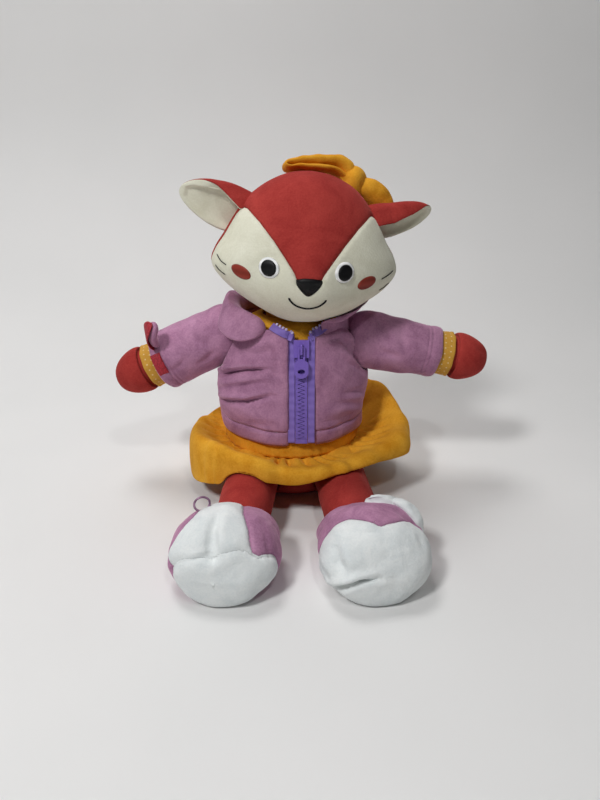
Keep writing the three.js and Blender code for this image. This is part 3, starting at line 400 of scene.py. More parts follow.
head_co, head_tris = arrays_of(ball("head_form", 160, 120))
head_co = stuffed_points(head_co, head_rows, start=-56, end=51, half=69, front=52, back=47)
muzzle = np.exp(-(head_co[:, 0] ** 2 + (head_co[:, 2] - muzzle_up) ** 2) / (2 * muzzle_spread ** 2))
head_co[:, 1] -= muzzle_out * muzzle * np.clip(-head_co[:, 1] / muzzle_depth, 0, 1)


def face_field(co):
    """Below zero on the face: under the blaze's two edges and in front of the side seams."""
    blaze = (np.interp(co[:, 2], *zip(*blaze_rows)) - np.abs(co[:, 0])) * 0.7
    side = co[:, 1] + side_seam
    corner = np.maximum(corner_round - np.abs(side - blaze), 0) ** 2 / (4 * corner_round)
    return np.maximum(side, blaze) + corner


def neck_field(co):
    """Below zero inside the round opening that the body's neck goes up through."""
    return np.where(co[:, 2] < neck_top, np.hypot(co[:, 0], co[:, 1]) - neck_radius, 9.0)


face_side = sew(head_co, head_tris, face_field)
face_faces = inside(face_side, head_tris)
sink(head_co, head_tris, head_co[face_side == 0], depth=0.9, width=1.3, pull=0.5)
ripple(head_co, head_tris, size=26, height=0.9, seed=1)
# The close stitches of each eye draw the velour in around them.
for middle in eye_x.values():
    ring = np.hypot(head_co[:, 0] - middle, head_co[:, 2] - eye_up) / eye_ring
    press = np.exp(-((ring - 1.06) / 0.24) ** 2) * (head_co[:, 1] < 0)
    head_co[:, 1] += 0.7 * press
face_tree = BVHTree.FromPolygons(head_co.tolist(), head_tris.tolist())
head_world = placed(head_co, head_place)
neck_faces = inside(sew(head_world, head_tris, neck_field), head_tris)
face_panel = cut_piece("face_panel_velour", head_world, head_tris, face_faces & ~neck_faces, 1.6)
head_back = cut_piece("head_velour", head_world, head_tris, ~face_faces & ~neck_faces, 1.6)
cream_velour = velour("cream_velour", "#E9E8D6", "#DAD8C3", 20, 0.25)
finished(face_panel, cream_velour, "head", "cream", "face_panel", fill=0.8)
finished(head_back, red_velour, "head", "red", "head", fill=0.8)


# The eyes, nose, cheek spots, smile and whiskers are machine embroidery: pads of close satin stitches
# in rayon thread, raised a little above the velour. The white of each eye is a pad under the black one.
def satin_thread(name, colour, turn):
    """Rayon satin stitch: parallel glossy threads side by side."""
    made, tree, shader, where = blank_material(name)
    turned = add_node(tree, "Mapping", {"Vector": where, "Rotation": (0, math.radians(turn), 0)})
    # Real threads are 0.4 mm thick; they are drawn thicker so that they show.
    thread_mm = 0.9
    rows = add_node(tree, "TexWave", {"Vector": turned.outputs[0], "Scale": 1000 / thread_mm / 20,
                                      "Distortion": 0.8}, bands_direction="X")
    light = [min(1, c * 1.35 + 0.003) for c in linear(colour)[:3]] + [1]
    tone = add_node(tree, "Mix", {0: rows.outputs["Fac"], 6: linear(colour), 7: light}, data_type="RGBA")
    tree.links.new(tone.outputs[2], shader.inputs["Base Color"])
    bump = add_node(tree, "Bump", {"Strength": 0.5, "Distance": 0.0003, "Height": rows.outputs["Fac"]})
    tree.links.new(bump.outputs[0], shader.inputs["Normal"])
    shader.inputs["Roughness"].default_value = 0.5
    shader.inputs["Specular IOR Level"].default_value = 0.25
    return made


def on_face(across, up):
    """The point of the face seen straight from the front at that place, and its normal."""
    point, normal = face_tree.ray_cast(Vector((across, -200, up)), Vector((0, 1, 0)))[:2]
    return np.array(point), np.array(normal)


def satin_pad(name, outline, low, high):
    """A closed domed pad on the face inside an outline of (across, up) points."""
    outline = np.array(outline)
    middle = outline.mean(0)
    rings, count = 9, len(outline)
    co, faces = [], []
    for top in (low, high):
        point, normal = on_face(*middle)
        co.append(point + normal * top)
        for ring in range(1, rings + 1):
            share = ring / rings
            rise = low + (top - low) * (1 - share ** 5) ** 0.5
            for across, up in middle + (outline - middle) * share:
                point, normal = on_face(across, up)
                co.append(point + normal * rise)
    half = 1 + rings * count
    for start, flip in ((0, True), (half, False)):
        for k in range(count):
            after = (k + 1) % count
            fan = [start, start + 1 + k, start + 1 + after]
            faces.append(fan if flip else fan[::-1])
            for ring in range(rings - 1):
                a, b = start + 1 + ring * count, start + 1 + (ring + 1) * count
                quad = [a + k, b + k, b + after, a + after]
                faces.append(quad if flip else quad[::-1])
    piece = new_piece(name, placed(np.array(co), head_place), faces)
    mended(piece, merge=0.005)
    return piece


def oval(across, up, width, height, tilt=0.0):
    """An oval's outline on the face, turned by its tilt."""
    turn = math.radians(tilt)
    angles = np.linspace(0, 2 * math.pi, 41)[:-1]
    x, z = np.cos(angles) * width / 2, np.sin(angles) * height / 2
    return np.stack([across + x * math.cos(turn) - z * math.sin(turn),
                     up + x * math.sin(turn) + z * math.cos(turn)], 1)


def bent(points, count):
    """Points along a smooth curve through the given ones."""
    return curve_through(points, np.linspace(0, 1, count))


def swept(name, path, up, half, sides, square=1.0):
    """A closed rod along a path. Its oval's first half size runs across, its second one along up."""
    path, half = np.array(path, float), np.array(half, float)
    run = np.gradient(path, axis=0)
    run /= np.linalg.norm(run, axis=1)[:, None]
    up = np.broadcast_to(np.array(up, float), path.shape)
    up = up - run * (up * run).sum(1)[:, None]
    up = up / np.linalg.norm(up, axis=1)[:, None]
    across = np.cross(run, up)
    angle = np.arange(sides) * 2 * math.pi / sides
    wide, high = (np.sign(part) * np.abs(part) ** square for part in (np.cos(angle), np.sin(angle)))
    rings = (path[:, None] + across[:, None] * (half[:, :1] * wide)[:, :, None]
             + up[:, None] * (half[:, 1:] * high)[:, :, None]).reshape(-1, 3)
    last = (len(path) - 1) * sides
    faces = [(start + k, start + sides + k, start + sides + (k + 1) % sides, start + (k + 1) % sides)
             for start in range(0, last, sides) for k in range(sides)]
    faces += [tuple(range(sides)), tuple(last + k for k in reversed(range(sides)))]
    return new_piece(name, rings, faces)


def stitched_line(name, points, wide, count=28):
    """A line of close stitches on the face, thinner at both ends."""
    line = bent(points, count)
    spots = [on_face(*point) for point in line]
    taper = np.minimum(1, 0.35 + np.minimum(np.arange(count), np.arange(count)[::-1]) / 3)
    path = placed(np.array([point + normal * 0.25 for point, normal in spots]), head_place)
    up = np.array([normal for point, normal in spots]) @ np.array(head_place)[:3, :3].T
    return swept(name, path, up, np.stack([taper * wide / 2, taper * wide * 0.36], 1), 10)


black_thread = satin_thread("black_satin_thread", "#060608", 90)
white_thread = satin_thread("white_satin_thread", "#E4E6E6", 90)
blush_thread = satin_thread("blush_satin_thread", "#7E2C20", 90)
blush_at = {"left": (41.2, -16.4), "right": (-45.6, -14.4)}
for side, sign in (("left", 1), ("right", -1)):
    finished(satin_pad(f"eye_white_satin_{side}", oval(eye_x[side], eye_up, 14, 13.8), 0.05, 0.9),
             white_thread, "head", "white_thread", f"eye_white_{side}")
    finished(satin_pad(f"eye_pupil_satin_{side}", oval(eye_x[side], eye_up, 10, 10.2), 0.95, 1.7),
             black_thread, "head", "black_thread", f"eye_pupil_{side}")
    finished(satin_pad(f"blush_satin_{side}", oval(*blush_at[side], 14.2, 8.6, sign * 19), 0.05, 0.8),
             blush_thread, "head", "blush_thread", f"blush_{side}")
nose_line = [(-8.8, -13.2), (-4.5, -11.9), (0, -11.6), (4.5, -11.9), (8.8, -13.2), (8.2, -16.6), (4.6, -21),
             (1.2, -23.7), (-1.2, -23.7), (-4.6, -21), (-8.2, -16.6), (-8.8, -13.2)]
finished(satin_pad("nose_satin", bent(nose_line, 61)[:-1], 0.05, 1.3), black_thread, "head", "black_thread",
         "nose")
smile = [(-12.6, -26.2), (-11.2, -28.6), (-7, -32), (0, -33.7), (7, -32), (11.2, -28.6), (12.6, -26.2)]
finished(stitched_line("smile_satin", smile, 1.5, 48), black_thread, "head", "black_thread", "mouth")
for name, points in [
    ("whisker_upper_right", [(-63.4, -7.6), (-60, -10.6), (-56, -12.2)]),
    ("whisker_lower_right", [(-64.2, -14.8), (-61, -17.4), (-56.5, -19.5)]),
    ("whisker_upper_left", [(62.8, -11.4), (58, -13.2), (52.3, -15)]),
    ("whisker_lower_left", [(60.5, -19.6), (56.5, -22.2), (52.5, -23.8)]),
]:
    whisker = stitched_line(name, points, 0.75)
    whisker.data.materials.append(black_thread)
    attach(whisker, "head")


# Each ear is two velour leaves sewn edge to edge and turned out: red behind, cream in front. Near the
# head the upper edge is folded forward and down, so that the red back shows over the cream hollow.
ear_folds = {
    "left": [(0, 0), (0.1, 11), (0.33, 17), (0.53, 14.5), (0.67, 10.5), (0.8, 7), (0.9, 3.5), (1, 0)],
    "right": [(0, 0), (0.1, 12), (0.3, 17.5), (0.42, 13), (0.6, 4.5), (0.75, 2), (1, 0)],
}
ear_tops = {"left": [(0, 1), (0.25, 0.8), (0.5, 0.6), (0.75, 0.62), (1, 0.9)],
            "right": [(0, 0.95), (0.3, 0.84), (0.6, 0.86), (1, 1)]}
ear_widths = {"left": (18, 17), "right": (20.5, 19)}
ear_lengths = {"left": 63, "right": 64}
ear_rolls = {"left": 64, "right": 76}
ear_tilts = {"left": 13, "right": 15}
ear_lumps = {"left": 3, "right": 2}


def ear_leaf(name, side, ear):
    """One leaf: x along the ear from its root, y down, z towards its back. side is 1 for the back."""
    co, tris = arrays_of(ball(name, 160, 80))
    along, across, out = co.T
    share = (along + 1) / 2
    edge = np.sqrt(np.maximum(1 - along ** 2, 1e-9))
    height = -across / edge
    taper = edge * (1 - 0.3 * share ** 2)
    upper = ear_widths[ear][0] * taper * np.interp(share, *zip(*ear_tops[ear]))
    lower = ear_widths[ear][1] * taper
    fold = np.interp(share, *zip(*ear_folds[ear]))
    run = height * np.where(height > 0, upper + fold, lower)
    bend = 4.2 - 1.6 * share
    most = math.radians(118) * np.clip(fold / 5, 0, 1)
    turn = np.clip((run - upper + bend) / bend, 0, most)
    past = np.maximum(run - upper + bend - bend * most, 0)
    rise = np.minimum(run, upper - bend) + bend * np.sin(turn) + past * np.cos(most)
    rise = np.where(fold > 0.01, rise, run)
    deep = -bend * (1 - np.cos(turn)) - past * np.sin(most) * (most > 0)
    deep -= 6.5 * (rise / 22) ** 2 * (1 - 0.4 * share)
    inset = np.minimum(np.where(height > 0, upper + fold, lower) - np.abs(run),
                       (1 - share) * max(ear_lengths.values()))
    face = np.maximum(0, out * side) / edge
    if side > 0:
        lift = 3.2 * face ** 0.8 * np.clip(taper * 1.4, 0, 1)
    else:
        rim = np.exp(-((inset - 2.8) / 2.4) ** 2)
        lift = np.minimum(1, face * 2.2) * (1.2 + 2.8 * rim) * (face > 0) * np.clip(taper * 1.4, 0, 1)
    lift = side * (0.12 + lift)
    made = np.stack([share * ear_lengths[ear], -rise - lift * np.sin(turn), deep + lift * np.cos(turn)], 1)
    ripple(made, tris, size=17, height=0.5, seed=ear_lumps[ear])
    return made, tris


for side, sign in (("left", 1), ("right", -1)):
    ear_place = (head_place @ Matrix.Translation((sign * 31, 10, 15))
                 @ Matrix.Scale(sign, 4, (1, 0, 0))
                 @ Matrix.Rotation(math.radians(-ear_tilts[side]), 4, "Y")
                 @ Matrix.Rotation(math.radians(-ear_rolls[side]), 4, "X"))
    for layer, out, material, slot in (("back", 1, red_velour, "red"), ("lining", -1, cream_velour, "cream")):
        name = f"ear_{layer}_velour_{side}"
        co, tris = ear_leaf(name, out, side)
        ear = cut_piece(name, placed(co, ear_place), tris[:, ::sign])
        finished(ear, material, "head", slot, f"ear_{layer}_{side}", fill=0.4)


# The bow is a strip of yellow velour folded into a long and a short loop, lightly stuffed, and wrapped
# at the middle. It is sewn to the crown, where the long loop lies over the head.
def rest_on(co, tree, gap):
    """Lifts the points that are in a form, or nearer to it than the gap, onto it."""
    reach = 25
    for i, point in enumerate(co):
        spot, normal, _, far = tree.find_nearest(Vector(point))
        if far < reach and (Vector(point) - spot).dot(normal) < gap:
            co[i] = np.array(spot + normal * gap)


def smoothed(piece, rounds=2, levels=1):
    """A finer division of a mesh, where levels isn't 0, and a little smoothing."""
    select_only(piece)
    if levels:
        piece.modifiers.new("finer", "SUBSURF").levels = levels
        piece.modifiers["finer"].render_levels = levels
        bpy.ops.object.modifier_apply(modifier="finer")
    piece.modifiers.new("soft", "SMOOTH").iterations = rounds
    bpy.ops.object.modifier_apply(modifier="soft")


yellow_velour = velour("yellow_velour", "#F2B43C", "#D8921F", 16, 0.3)
bow_place = (Matrix.Translation((40, 12, 238)) @ Matrix.Rotation(math.radians(3), 4, "Z")
             @ Matrix.Rotation(math.radians(14), 4, "Y"))
head_tree = BVHTree.FromPolygons(head_world.tolist(), head_tris.tolist())
long_loop = [(-1, 0, 1.5), (-12, 0, 6.4), (-25, 0, 4.6), (-38, 0, 2.2), (-46, 0, -0.4), (-49.5, 0, 0.5),
             (-48, 0, 2.8), (-41, 0, 5.8), (-31, 0, 9.2), (-20, 0, 12), (-12, 0, 13.4), (-5.5, 0, 11.4),
             (-1, 0, 5.5)]
long_half = [(6, 2), (8.4, 2.4), (9.6, 2.6), (9.6, 2.4), (9, 1.9), (8.4, 1.9), (8.4, 2.5), (8.6, 3.3),
             (8.8, 3.9), (9, 4.3), (9, 4.9), (8.6, 5.4), (7, 5)]
short_loop = [(2, 0, -0.6), (9, 1, 0), (17, 1, -1.6), (25, 2, -5), (31, 4, -8.4), (34.5, 5, -11.4),
              (35.5, 5, -12.6)]
short_half = [(5, 4.4), (8, 7.4), (9, 9), (9, 8.6), (8, 6.8), (5, 4.2), (1.6, 1.2)]
# The long loop leans back, so that one looks at its dark underside and not through it.
for name, path, half, way, lean, node in [
    ("bow_loop_long", long_loop, long_half, -1, -22, "bow_loop_right"),
    ("bow_loop_short", short_loop, short_half, 1, 0, "bow_loop_left"),
]:
    path, half = bent(path, 60), bent(half, 60)
    run = np.gradient(path, axis=0)
    up = np.stack([-run[:, 2], 0 * run[:, 1], run[:, 0]], 1)
    loop = swept(name, path, way * up, half, 24)
    smoothed(loop)
    co, tris = arrays_of(loop)
    co = placed(co, bow_place @ Matrix.Rotation(math.radians(lean), 4, "X"))
    ripple(co, tris, size=7, height=0.6, seed=4)
    rest_on(co, head_tree, 0.4)
    finished(cut_piece(name, co, tris), yellow_velour, "head", "yellow", node, fill=0.5)
co, tris = arrays_of(ball("bow_knot_form", 64, 40))
turn = np.arctan2(co[:, 2], co[:, 1])
co *= np.array([9, 10.8, 11.4]) * (1 + 0.035 * np.sin(5 * turn + 1))[:, None]
co[:, 0] *= 1 - 0.16 * np.cos(turn * 2 + 0.6)
co = placed(co + [1.5, 0, 1.6], bow_place)
rest_on(co, head_tree, 0.4)
finished(cut_piece("bow_knot_wrap", co, tris), yellow_velour, "head", "yellow", "bow_knot", fill=0.6)


# Each leg is a stuffed tube of red velour, sewn into the front of the seat. The skirt lies over its
# upper half, and its foot fills the shoe.
def round_rows(shares):
    """The rows of a round tube, from its shares along and out."""
    return [(along, out, out, out) for along, out in shares]


leg_rows = round_rows([(0, 0), (0.03, 0.62), (0.1, 0.98), (0.3, 1), (0.5, 0.99), (0.66, 0.9), (0.78, 0.92),
                       (0.9, 0.9), (0.97, 0.6), (1, 0)])
leg_radius, leg_end = 20, 137
hip_out, hip_front, hip_up = 33, -30, 20.8
leg_places = {}
for side, sign, splay in (("left", 1, 6.5), ("right", -1, 4.7)):
    leg_places[side] = (Matrix.Translation((sign * hip_out, hip_front, hip_up))
                        @ Matrix.Rotation(math.radians(sign * splay), 4, "Z")
                        @ Matrix.Rotation(math.radians(90), 4, "X"))
    co, tris = arrays_of(ball(f"leg_form_{side}", 64, 96))
    co = stuffed_points(co, leg_rows, -leg_radius, leg_end, leg_radius, leg_radius, leg_radius)
    ripple(co, tris, size=16, height=0.7, seed=5 + sign)
    leg = cut_piece(f"leg_velour_{side}", placed(co, leg_places[side]), tris)
    finished(leg, red_velour, f"leg_{side}", "red", f"leg_{side}", fill=0.8)


# Each shoe is a stuffed slipper: a white velour toe cap and tongue, and pink velour quarters that go
# round the heel. It is open at the ankle, and its cloth has a thin wall round the foot.
shoe_rows = [(0, 0, 0, 0), (0.01, 0.7, 1, 0.62), (0.1, 0.86, 1, 0.86), (0.3, 0.97, 1.05, 1),
             (0.55, 1, 1.1, 0.98), (0.75, 0.93, 1.1, 0.78), (0.9, 0.72, 1.05, 0.45), (0.97, 0.45, 0.8, 0.15),
             (1, 0, 0, 0)]
shoe_heel, shoe_toe = 84, 144
shoe_shifts = {"left": 6, "right": -4}
sole_down, sole_bulge = 17.8, 2.95


def shoe_form(side):
    """A shoe's skin in its leg's own frame: x across, y up, z forward along the leg."""
    co, tris = arrays_of(ball(f"shoe_form_{side}", 144, 110))
    co = stuffed_points(co, shoe_rows, shoe_heel, shoe_toe, half=37, front=20.8, back=30)
    co[:, 0] += shoe_shifts[side] * np.clip((co[:, 2] - shoe_heel) / 12, 0, 1)
    low = co[:, 1] + sole_down
    co[:, 1] = np.where(low < 0, -sole_down - sole_bulge * (1 - np.exp(low / 3.2)), co[:, 1])
    return co, tris


# Where the white meets the pink, seen from above the shoe: the cap's edge runs across, and on the
# right shoe the white tongue's two sides run back from it to the ankle.
cap_edges = {
    "left": [(-40, 109), (-22, 107), (-12.6, 107.6), (-4.2, 113), (6.8, 121.5), (18.5, 117), (28.8, 111),
             (42, 109)],
    "right": [(-42, 131), (-31, 134), (-20, 136), (-8.5, 136.5), (2.5, 134), (13.3, 131.3), (22, 130.4),
              (28, 125), (34, 117), (42, 110)],
}
tongue_outer_side = [(84, -18), (107, -27), (118.6, -36), (124, -41), (130, -45), (150, -50)]
tongue_inner_side = [(84, 5), (105, 8.4), (119.7, 14.1), (128, 16.4), (131, 18), (150, 20)]
# Each fold is a line in the camera's view, in its pixels, with a depth in millimetres and a half width
# in pixels.
shoe_folds = {
    "right": [([(219, 511), (213, 528), (211, 545), (212, 562)], 3.6, 4.2),
              ([(212, 530), (213, 566)], 2.4, 9), ([(180, 563), (205, 556), (214, 552)], 0.7, 2),
              ([(246, 520), (250, 545), (253, 556)], 0.6, 2.2),
              ([(262, 515), (268, 545), (270, 562)], 0.7, 3),
              ([(176, 552), (180, 575), (200, 596)], 0.8, 6)],
    "left": [([(313, 584), (332, 589), (345, 588.5), (362, 583), (382, 579)], 6, 3),
             ([(316, 560), (322, 572), (330, 582)], 1.8, 3), ([(335, 543), (338, 561), (345, 575)], 3, 5),
             ([(339, 529), (362, 533), (385, 531)], 0.8, 3), ([(396, 508), (408, 518), (424, 530)], 2, 3.2),
             ([(418, 535), (424, 548)], 0.6, 2.6), ([(372, 560), (392, 556)], 0.6, 8)],
}


def press_folds(co, tris, folds, ridge=0.45):
    """Presses folds into the side that the camera sees, each with a soft lip beside it."""
    for line, depth, width in folds:
        normal = normals_of(co, tris)
        toward = camera_place - co
        facing = np.clip((normal * toward).sum(1) / np.linalg.norm(toward, axis=1) * 2.5, 0, 1)
        spot = seen_at(co)
        best, side, place = np.full(len(co), 1e9), np.zeros(len(co)), np.zeros(len(co))
        line = np.array(line, float)
        length = np.linalg.norm(np.diff(line, axis=0), axis=1)
        for k, (start, end) in enumerate(zip(line[:-1], line[1:])):
            along = end - start
            t = np.clip((spot - start) @ along / (along @ along), 0, 1)
            gap = spot - start - t[:, None] * along
            far = np.linalg.norm(gap, axis=1)
            near = far < best
            best = np.where(near, far, best)
            side = np.where(near, np.sign(along[0] * gap[:, 1] - along[1] * gap[:, 0]) * far, side)
            place = np.where(near, (length[:k].sum() + t * length[k]) / length.sum(), place)
        fade = np.sin(np.pi * np.clip(place, 0.02, 0.98)) ** 0.6 * facing
        move = ridge * np.exp(-((side + 2.1 * width) / (1.5 * width)) ** 2) - np.exp(-(best / width) ** 2)
        co += normal * (depth * move * fade)[:, None]


white_velour = velour("white_velour", "#EEF1F0", "#DCE2E3", 18, 0.2)
pink_velour = velour("pink_velour", "#C390AF", "#9C6C8B", 15, 0.9)


def cap_field(local, side):
    """Below zero on a shoe's white cloth: the toe cap, and on the right shoe its tongue too."""
    edge = np.interp(local[:, 0], *zip(*cap_edges[side])) - local[:, 2]
    if side == "left":
        return edge
    tongue = np.maximum(np.interp(local[:, 2], *zip(*tongue_outer_side)) - local[:, 0],
                        local[:, 0] - np.interp(local[:, 2], *zip(*tongue_inner_side)))
    return np.minimum(edge, np.maximum(tongue, 4 - local[:, 1]))


def opening_field(local):
    """Below zero inside the ankle's oval opening, which is taller above the leg than below it."""
    tall = np.where(local[:, 1] > 0, local[:, 1] / 24.5, local[:, 1] / 19.5)
    return np.where(local[:, 2] < 104, np.hypot(local[:, 0] / 20.5, tall) * 20 - 20, 9.0)


for side in ("right", "left"):
    co, tris = shoe_form(side)
    white_side = sew(co, tris, lambda local: cap_field(local, side))
    opening = sew(co, tris, opening_field)
    is_white, is_open = inside(white_side, tris), inside(opening, tris) & (co[tris].mean(1)[:, 2] < 96)
    sink(co, tris, co[white_side == 0], depth=1.0, width=1.4, pull=0.7, spread=6)
    beyond_cap = co[:, 2] - np.interp(co[:, 0], *zip(*cap_edges[side]))
    if side == "right":
        sink(co, tris, co[(np.abs(beyond_cap) < 0.9) & (co[:, 1] > 0)], depth=0.7, width=1.3, pull=0.3,
             spread=4)
    ripple(co, tris, size=13, height=0.9, seed=8 if side == "left" else 9)
    world = placed(co, leg_places[side])
    press_folds(world, tris, shoe_folds[side])
    ripple(world, tris, size=5, height=0.25, seed=11)
    world[:, 2] = np.maximum(world[:, 2], 0.05)
    ride_on = f"shoe_{side}"
    if side == "right":
        front = beyond_cap[tris].mean(1) > 0
        cap_faces, tongue_faces = is_white & front, is_white & ~front
        tongue = cut_piece("shoe_tongue_velour_right", world, tris, tongue_faces & ~is_open, 2.0)
        finished(tongue, white_velour, ride_on, "white", "shoe_tongue_right", fill=0.5)
    else:
        cap_faces = is_white
        # The left shoe's tongue lies under the closed quarters and shows only above the ankle.
        path = bent([(15, 20, 103), (16, 20.4, 97), (17, 23, 92), (18, 26, 88), (18, 28.6, 86)], 26)
        half = bent([(10, 0.9), (12, 1.3), (13.5, 2), (13, 3.8), (9.5, 2.2)], 26)
        arc = swept("tongue_form", path, (0, 1, -0.2), half, 28)
        local, arc_tris = arrays_of(arc)
        local[:, 1] -= ((local[:, 0] - 12) / 16) ** 2 * 4.2
        ripple(local, arc_tris, size=8, height=1.8, seed=12)
        tongue = cut_piece("shoe_tongue_velour_left", placed(local, leg_places[side]), arc_tris)
        smoothed(tongue, 3)
        finished(tongue, white_velour, ride_on, "white", "shoe_tongue_left", fill=0.4)
    cap = cut_piece(f"shoe_toe_cap_velour_{side}", world, tris, cap_faces & ~is_open, 2.0)
    finished(cap, white_velour, ride_on, "white", f"shoe_toe_cap_{side}", fill=0.7)
    quarter = cut_piece(f"shoe_quarter_velour_{side}", world, tris, ~is_white & ~is_open, 2.0)
    finished(quarter, pink_velour, ride_on, "pink", f"shoe_quarter_{side}", fill=0.6)

# The left shoe closes with a soft white velour tie over the instep, and the right one keeps a thin
# mauve cord loop that is sewn into its seam at both ends.
path = bent([(23, 26, 91), (29, 24, 94), (34.5, 20, 98), (38, 14.5, 102), (39.5, 9, 105)], 34)
half = bent([(2.5, 1.8), (5.6, 3.6), (6, 4), (5, 3.4), (1.8, 1.6)], 34)
co, tris = arrays_of(swept("tie_form", path, (0.45, 0.9, 0), half, 20))
ripple(co, tris, size=6, height=0.9, seed=14)
tie = cut_piece("shoe_tie_velour", placed(co, leg_places["left"]), tris)
smoothed(tie, 2)
finished(tie, white_velour, "shoe_left", "white", "shoe_tie_left", fill=0.5)
# Twisted polyester cord: its strands wind round it as fine slanted ridges with a soft gloss.
cord_twist, tree, shader, where = blank_material("mauve_twisted_cord")
strand_mm = 0.7
strands = add_node(tree, "TexWave", {"Vector": where, "Scale": 1000 / strand_mm / 20},
                   bands_direction="DIAGONAL")
tone = add_node(tree, "Mix", {0: strands.outputs["Fac"], 6: linear("#7C5674"), 7: linear("#AE86A2")},
                data_type="RGBA")
tree.links.new(tone.outputs[2], shader.inputs["Base Color"])
bump = add_node(tree, "Bump", {"Strength": 0.6, "Distance": 0.0002, "Height": strands.outputs["Fac"]})
tree.links.new(bump.outputs[0], shader.inputs["Normal"])
shader.inputs["Roughness"].default_value = 0.6
cord_radius, loop_radius, loop_steps = 0.75, 4.8, 44
turn = np.linspace(-0.35 * math.pi, 1.35 * math.pi, loop_steps)
path = np.stack([-21 + loop_radius * np.cos(turn), 28.5 + loop_radius * np.sin(turn) * 1.1,
                 98 - 2 * np.cos(turn)], 1)
loop = swept("shoe_cord_loop", placed(path, leg_places["right"]), np.array(leg_places["right"])[:3, 2],
             np.full((loop_steps, 2), cord_radius), 12)
finished(loop, cord_twist, "shoe_right", "cord", "shoe_loop_right")


# Each arm is a stuffed tube of red velour with a rounded mitten end. Its root ball sits in the side of
# the body, under the sleeves.
arm_rows = round_rows([(0, 0), (0.05, 0.6), (0.15, 0.93), (0.24, 0.93), (0.38, 0.82), (0.725, 0.8),
                       (0.76, 1.02), (0.81, 1.06), (0.87, 0.97), (0.93, 0.76), (0.975, 0.46), (1, 0)])
arm_radius, arm_end, shoulder_out = 17.6, 99, 56
arm_drops = {"left": 10.6, "right": 24.5}
arm_heights = {"left": 121.5, "right": 127}
hand_folds = {"left": [([(476, 346), (483, 351), (486, 356)], 1.2, 2.5)],
              "right": [([(124, 384), (136, 390)], 0.8, 4)]}
arm_places = {}
for side, sign in (("left", 1), ("right", -1)):
    arm_places[side] = (Matrix.Translation((sign * shoulder_out, 0, arm_heights[side]))
                        @ Matrix.Rotation(math.radians(sign * (90 + arm_drops[side])), 4, "Y"))
    co, tris = arrays_of(ball(f"arm_form_{side}", 72, 96))
    co = stuffed_points(co, arm_rows, -arm_radius, arm_end, arm_radius, arm_radius, arm_radius)
    co = placed(co, arm_places[side])
    ripple(co, tris, size=15, height=0.8, seed=20 + sign)
    press_folds(co, tris, hand_folds[side])
    arm = cut_piece(f"arm_velour_{side}", co, tris)
    finished(arm, red_velour, f"arm_{side}", "red", f"arm_{side}", fill=0.8)


# The dress is yellow velour: a close bodice with a neckband, drawn over the body, that shows in the
# jacket's neck and below its hem.
torso_rows = [(0, 0, 0, 0), (0.006, 0.6, 0.6, 0.6), (0.025, 0.84, 0.82, 0.82), (0.08, 0.95, 0.93, 0.94),
              (0.18, 1, 0.98, 1), (0.34, 1, 1, 1), (0.5, 0.985, 0.94, 0.98), (0.68, 0.95, 0.845, 0.94),
              (0.82, 0.88, 0.78, 0.88), (0.91, 0.72, 0.7, 0.76), (0.97, 0.48, 0.5, 0.55), (1, 0, 0, 0)]
body_middle = -4


def round_body(name, grow, segments, rings):
    """The body's form, grown outwards, as points and triangles."""
    co, tris = arrays_of(ball(name, segments, rings))
    co = stuffed_points(co, torso_rows, start=-0.5, end=146, half=53, front=49.5, back=38, grow=grow)
    return co + np.array([body_middle, 0, 0]), tris


def armhole(co, radius):
    """Below zero inside the round opening that an arm leaves the body through."""
    near = np.full(len(co), 1e3)
    for place in arm_places.values():
        local = placed(co, place.inverted())
        off = np.linalg.norm(local * np.where(local[:, 2:] > 0, [1, 1, 0], 1), axis=1)
        near = np.minimum(near, off - radius)
    return near


bodice_low, bodice_top, bodice_neck = 42, 144.6, 23.7


def bodice_edge(co):
    """Below zero on the bodice: from the waist to the neck, less the neck opening and the armholes."""
    neck = np.where(co[:, 2] > 120, bodice_neck - np.hypot(co[:, 0], co[:, 1]), -9)
    return np.maximum.reduce([bodice_low - co[:, 2], co[:, 2] - bodice_top, -armhole(co, 24.2), neck])


co, tris = round_body("bodice_form", grow=1.8, segments=144, rings=130)
bodice_faces = inside(sew(co, tris, bodice_edge), tris)
pleats = np.cos(np.arctan2(co[:, 1], co[:, 0]) * 46) * np.clip((58 - co[:, 2]) / 12, 0, 1)
co += normals_of(co, tris) * (0.45 * pleats)[:, None]
bodice = cut_piece("dress_bodice_velour", co, tris, bodice_faces, 1.3)
finished(bodice, yellow_velour, "body", "yellow", "dress_bodice")
band_profile = [(22.3, 138.5), (22.2, 143), (22.3, 147.2), (22.9, 147.8), (23.5, 147.2), (23.6, 143),
                (23.6, 138.5)]
steps, loops = 96, len(band_profile)
turns = np.arange(steps) * 2 * math.pi / steps
co = np.array([(out * math.cos(a), out * math.sin(a), up) for out, up in band_profile for a in turns])
faces = [(i * steps + k, i * steps + (k + 1) % steps,
          (i + 1) % loops * steps + (k + 1) % steps, (i + 1) % loops * steps + k)
         for i in range(loops) for k in range(steps)]
neckband = new_piece("dress_neckband", co, faces)
mended(neckband)
neckband.data.materials.append(yellow_velour)
bpy.ops.object.shade_smooth()
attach(neckband, "body")


# The dress's sleeves are mustard cotton with small cream dots, printed in staggered rows. Their ends
# show as cuffs beyond the jacket's sleeves.
def flat_grid(name, across, along):
    """A flat grid of faces, with its points' shares from 0 to 1 across and along it."""
    bpy.ops.object.select_all(action="DESELECT")
    bpy.ops.mesh.primitive_grid_add(x_subdivisions=across, y_subdivisions=along, size=1)
    piece = bpy.context.object
    piece.name = name
    shares = points_of(piece) / 1000 + 0.5
    return piece, shares[:, 0], shares[:, 1]


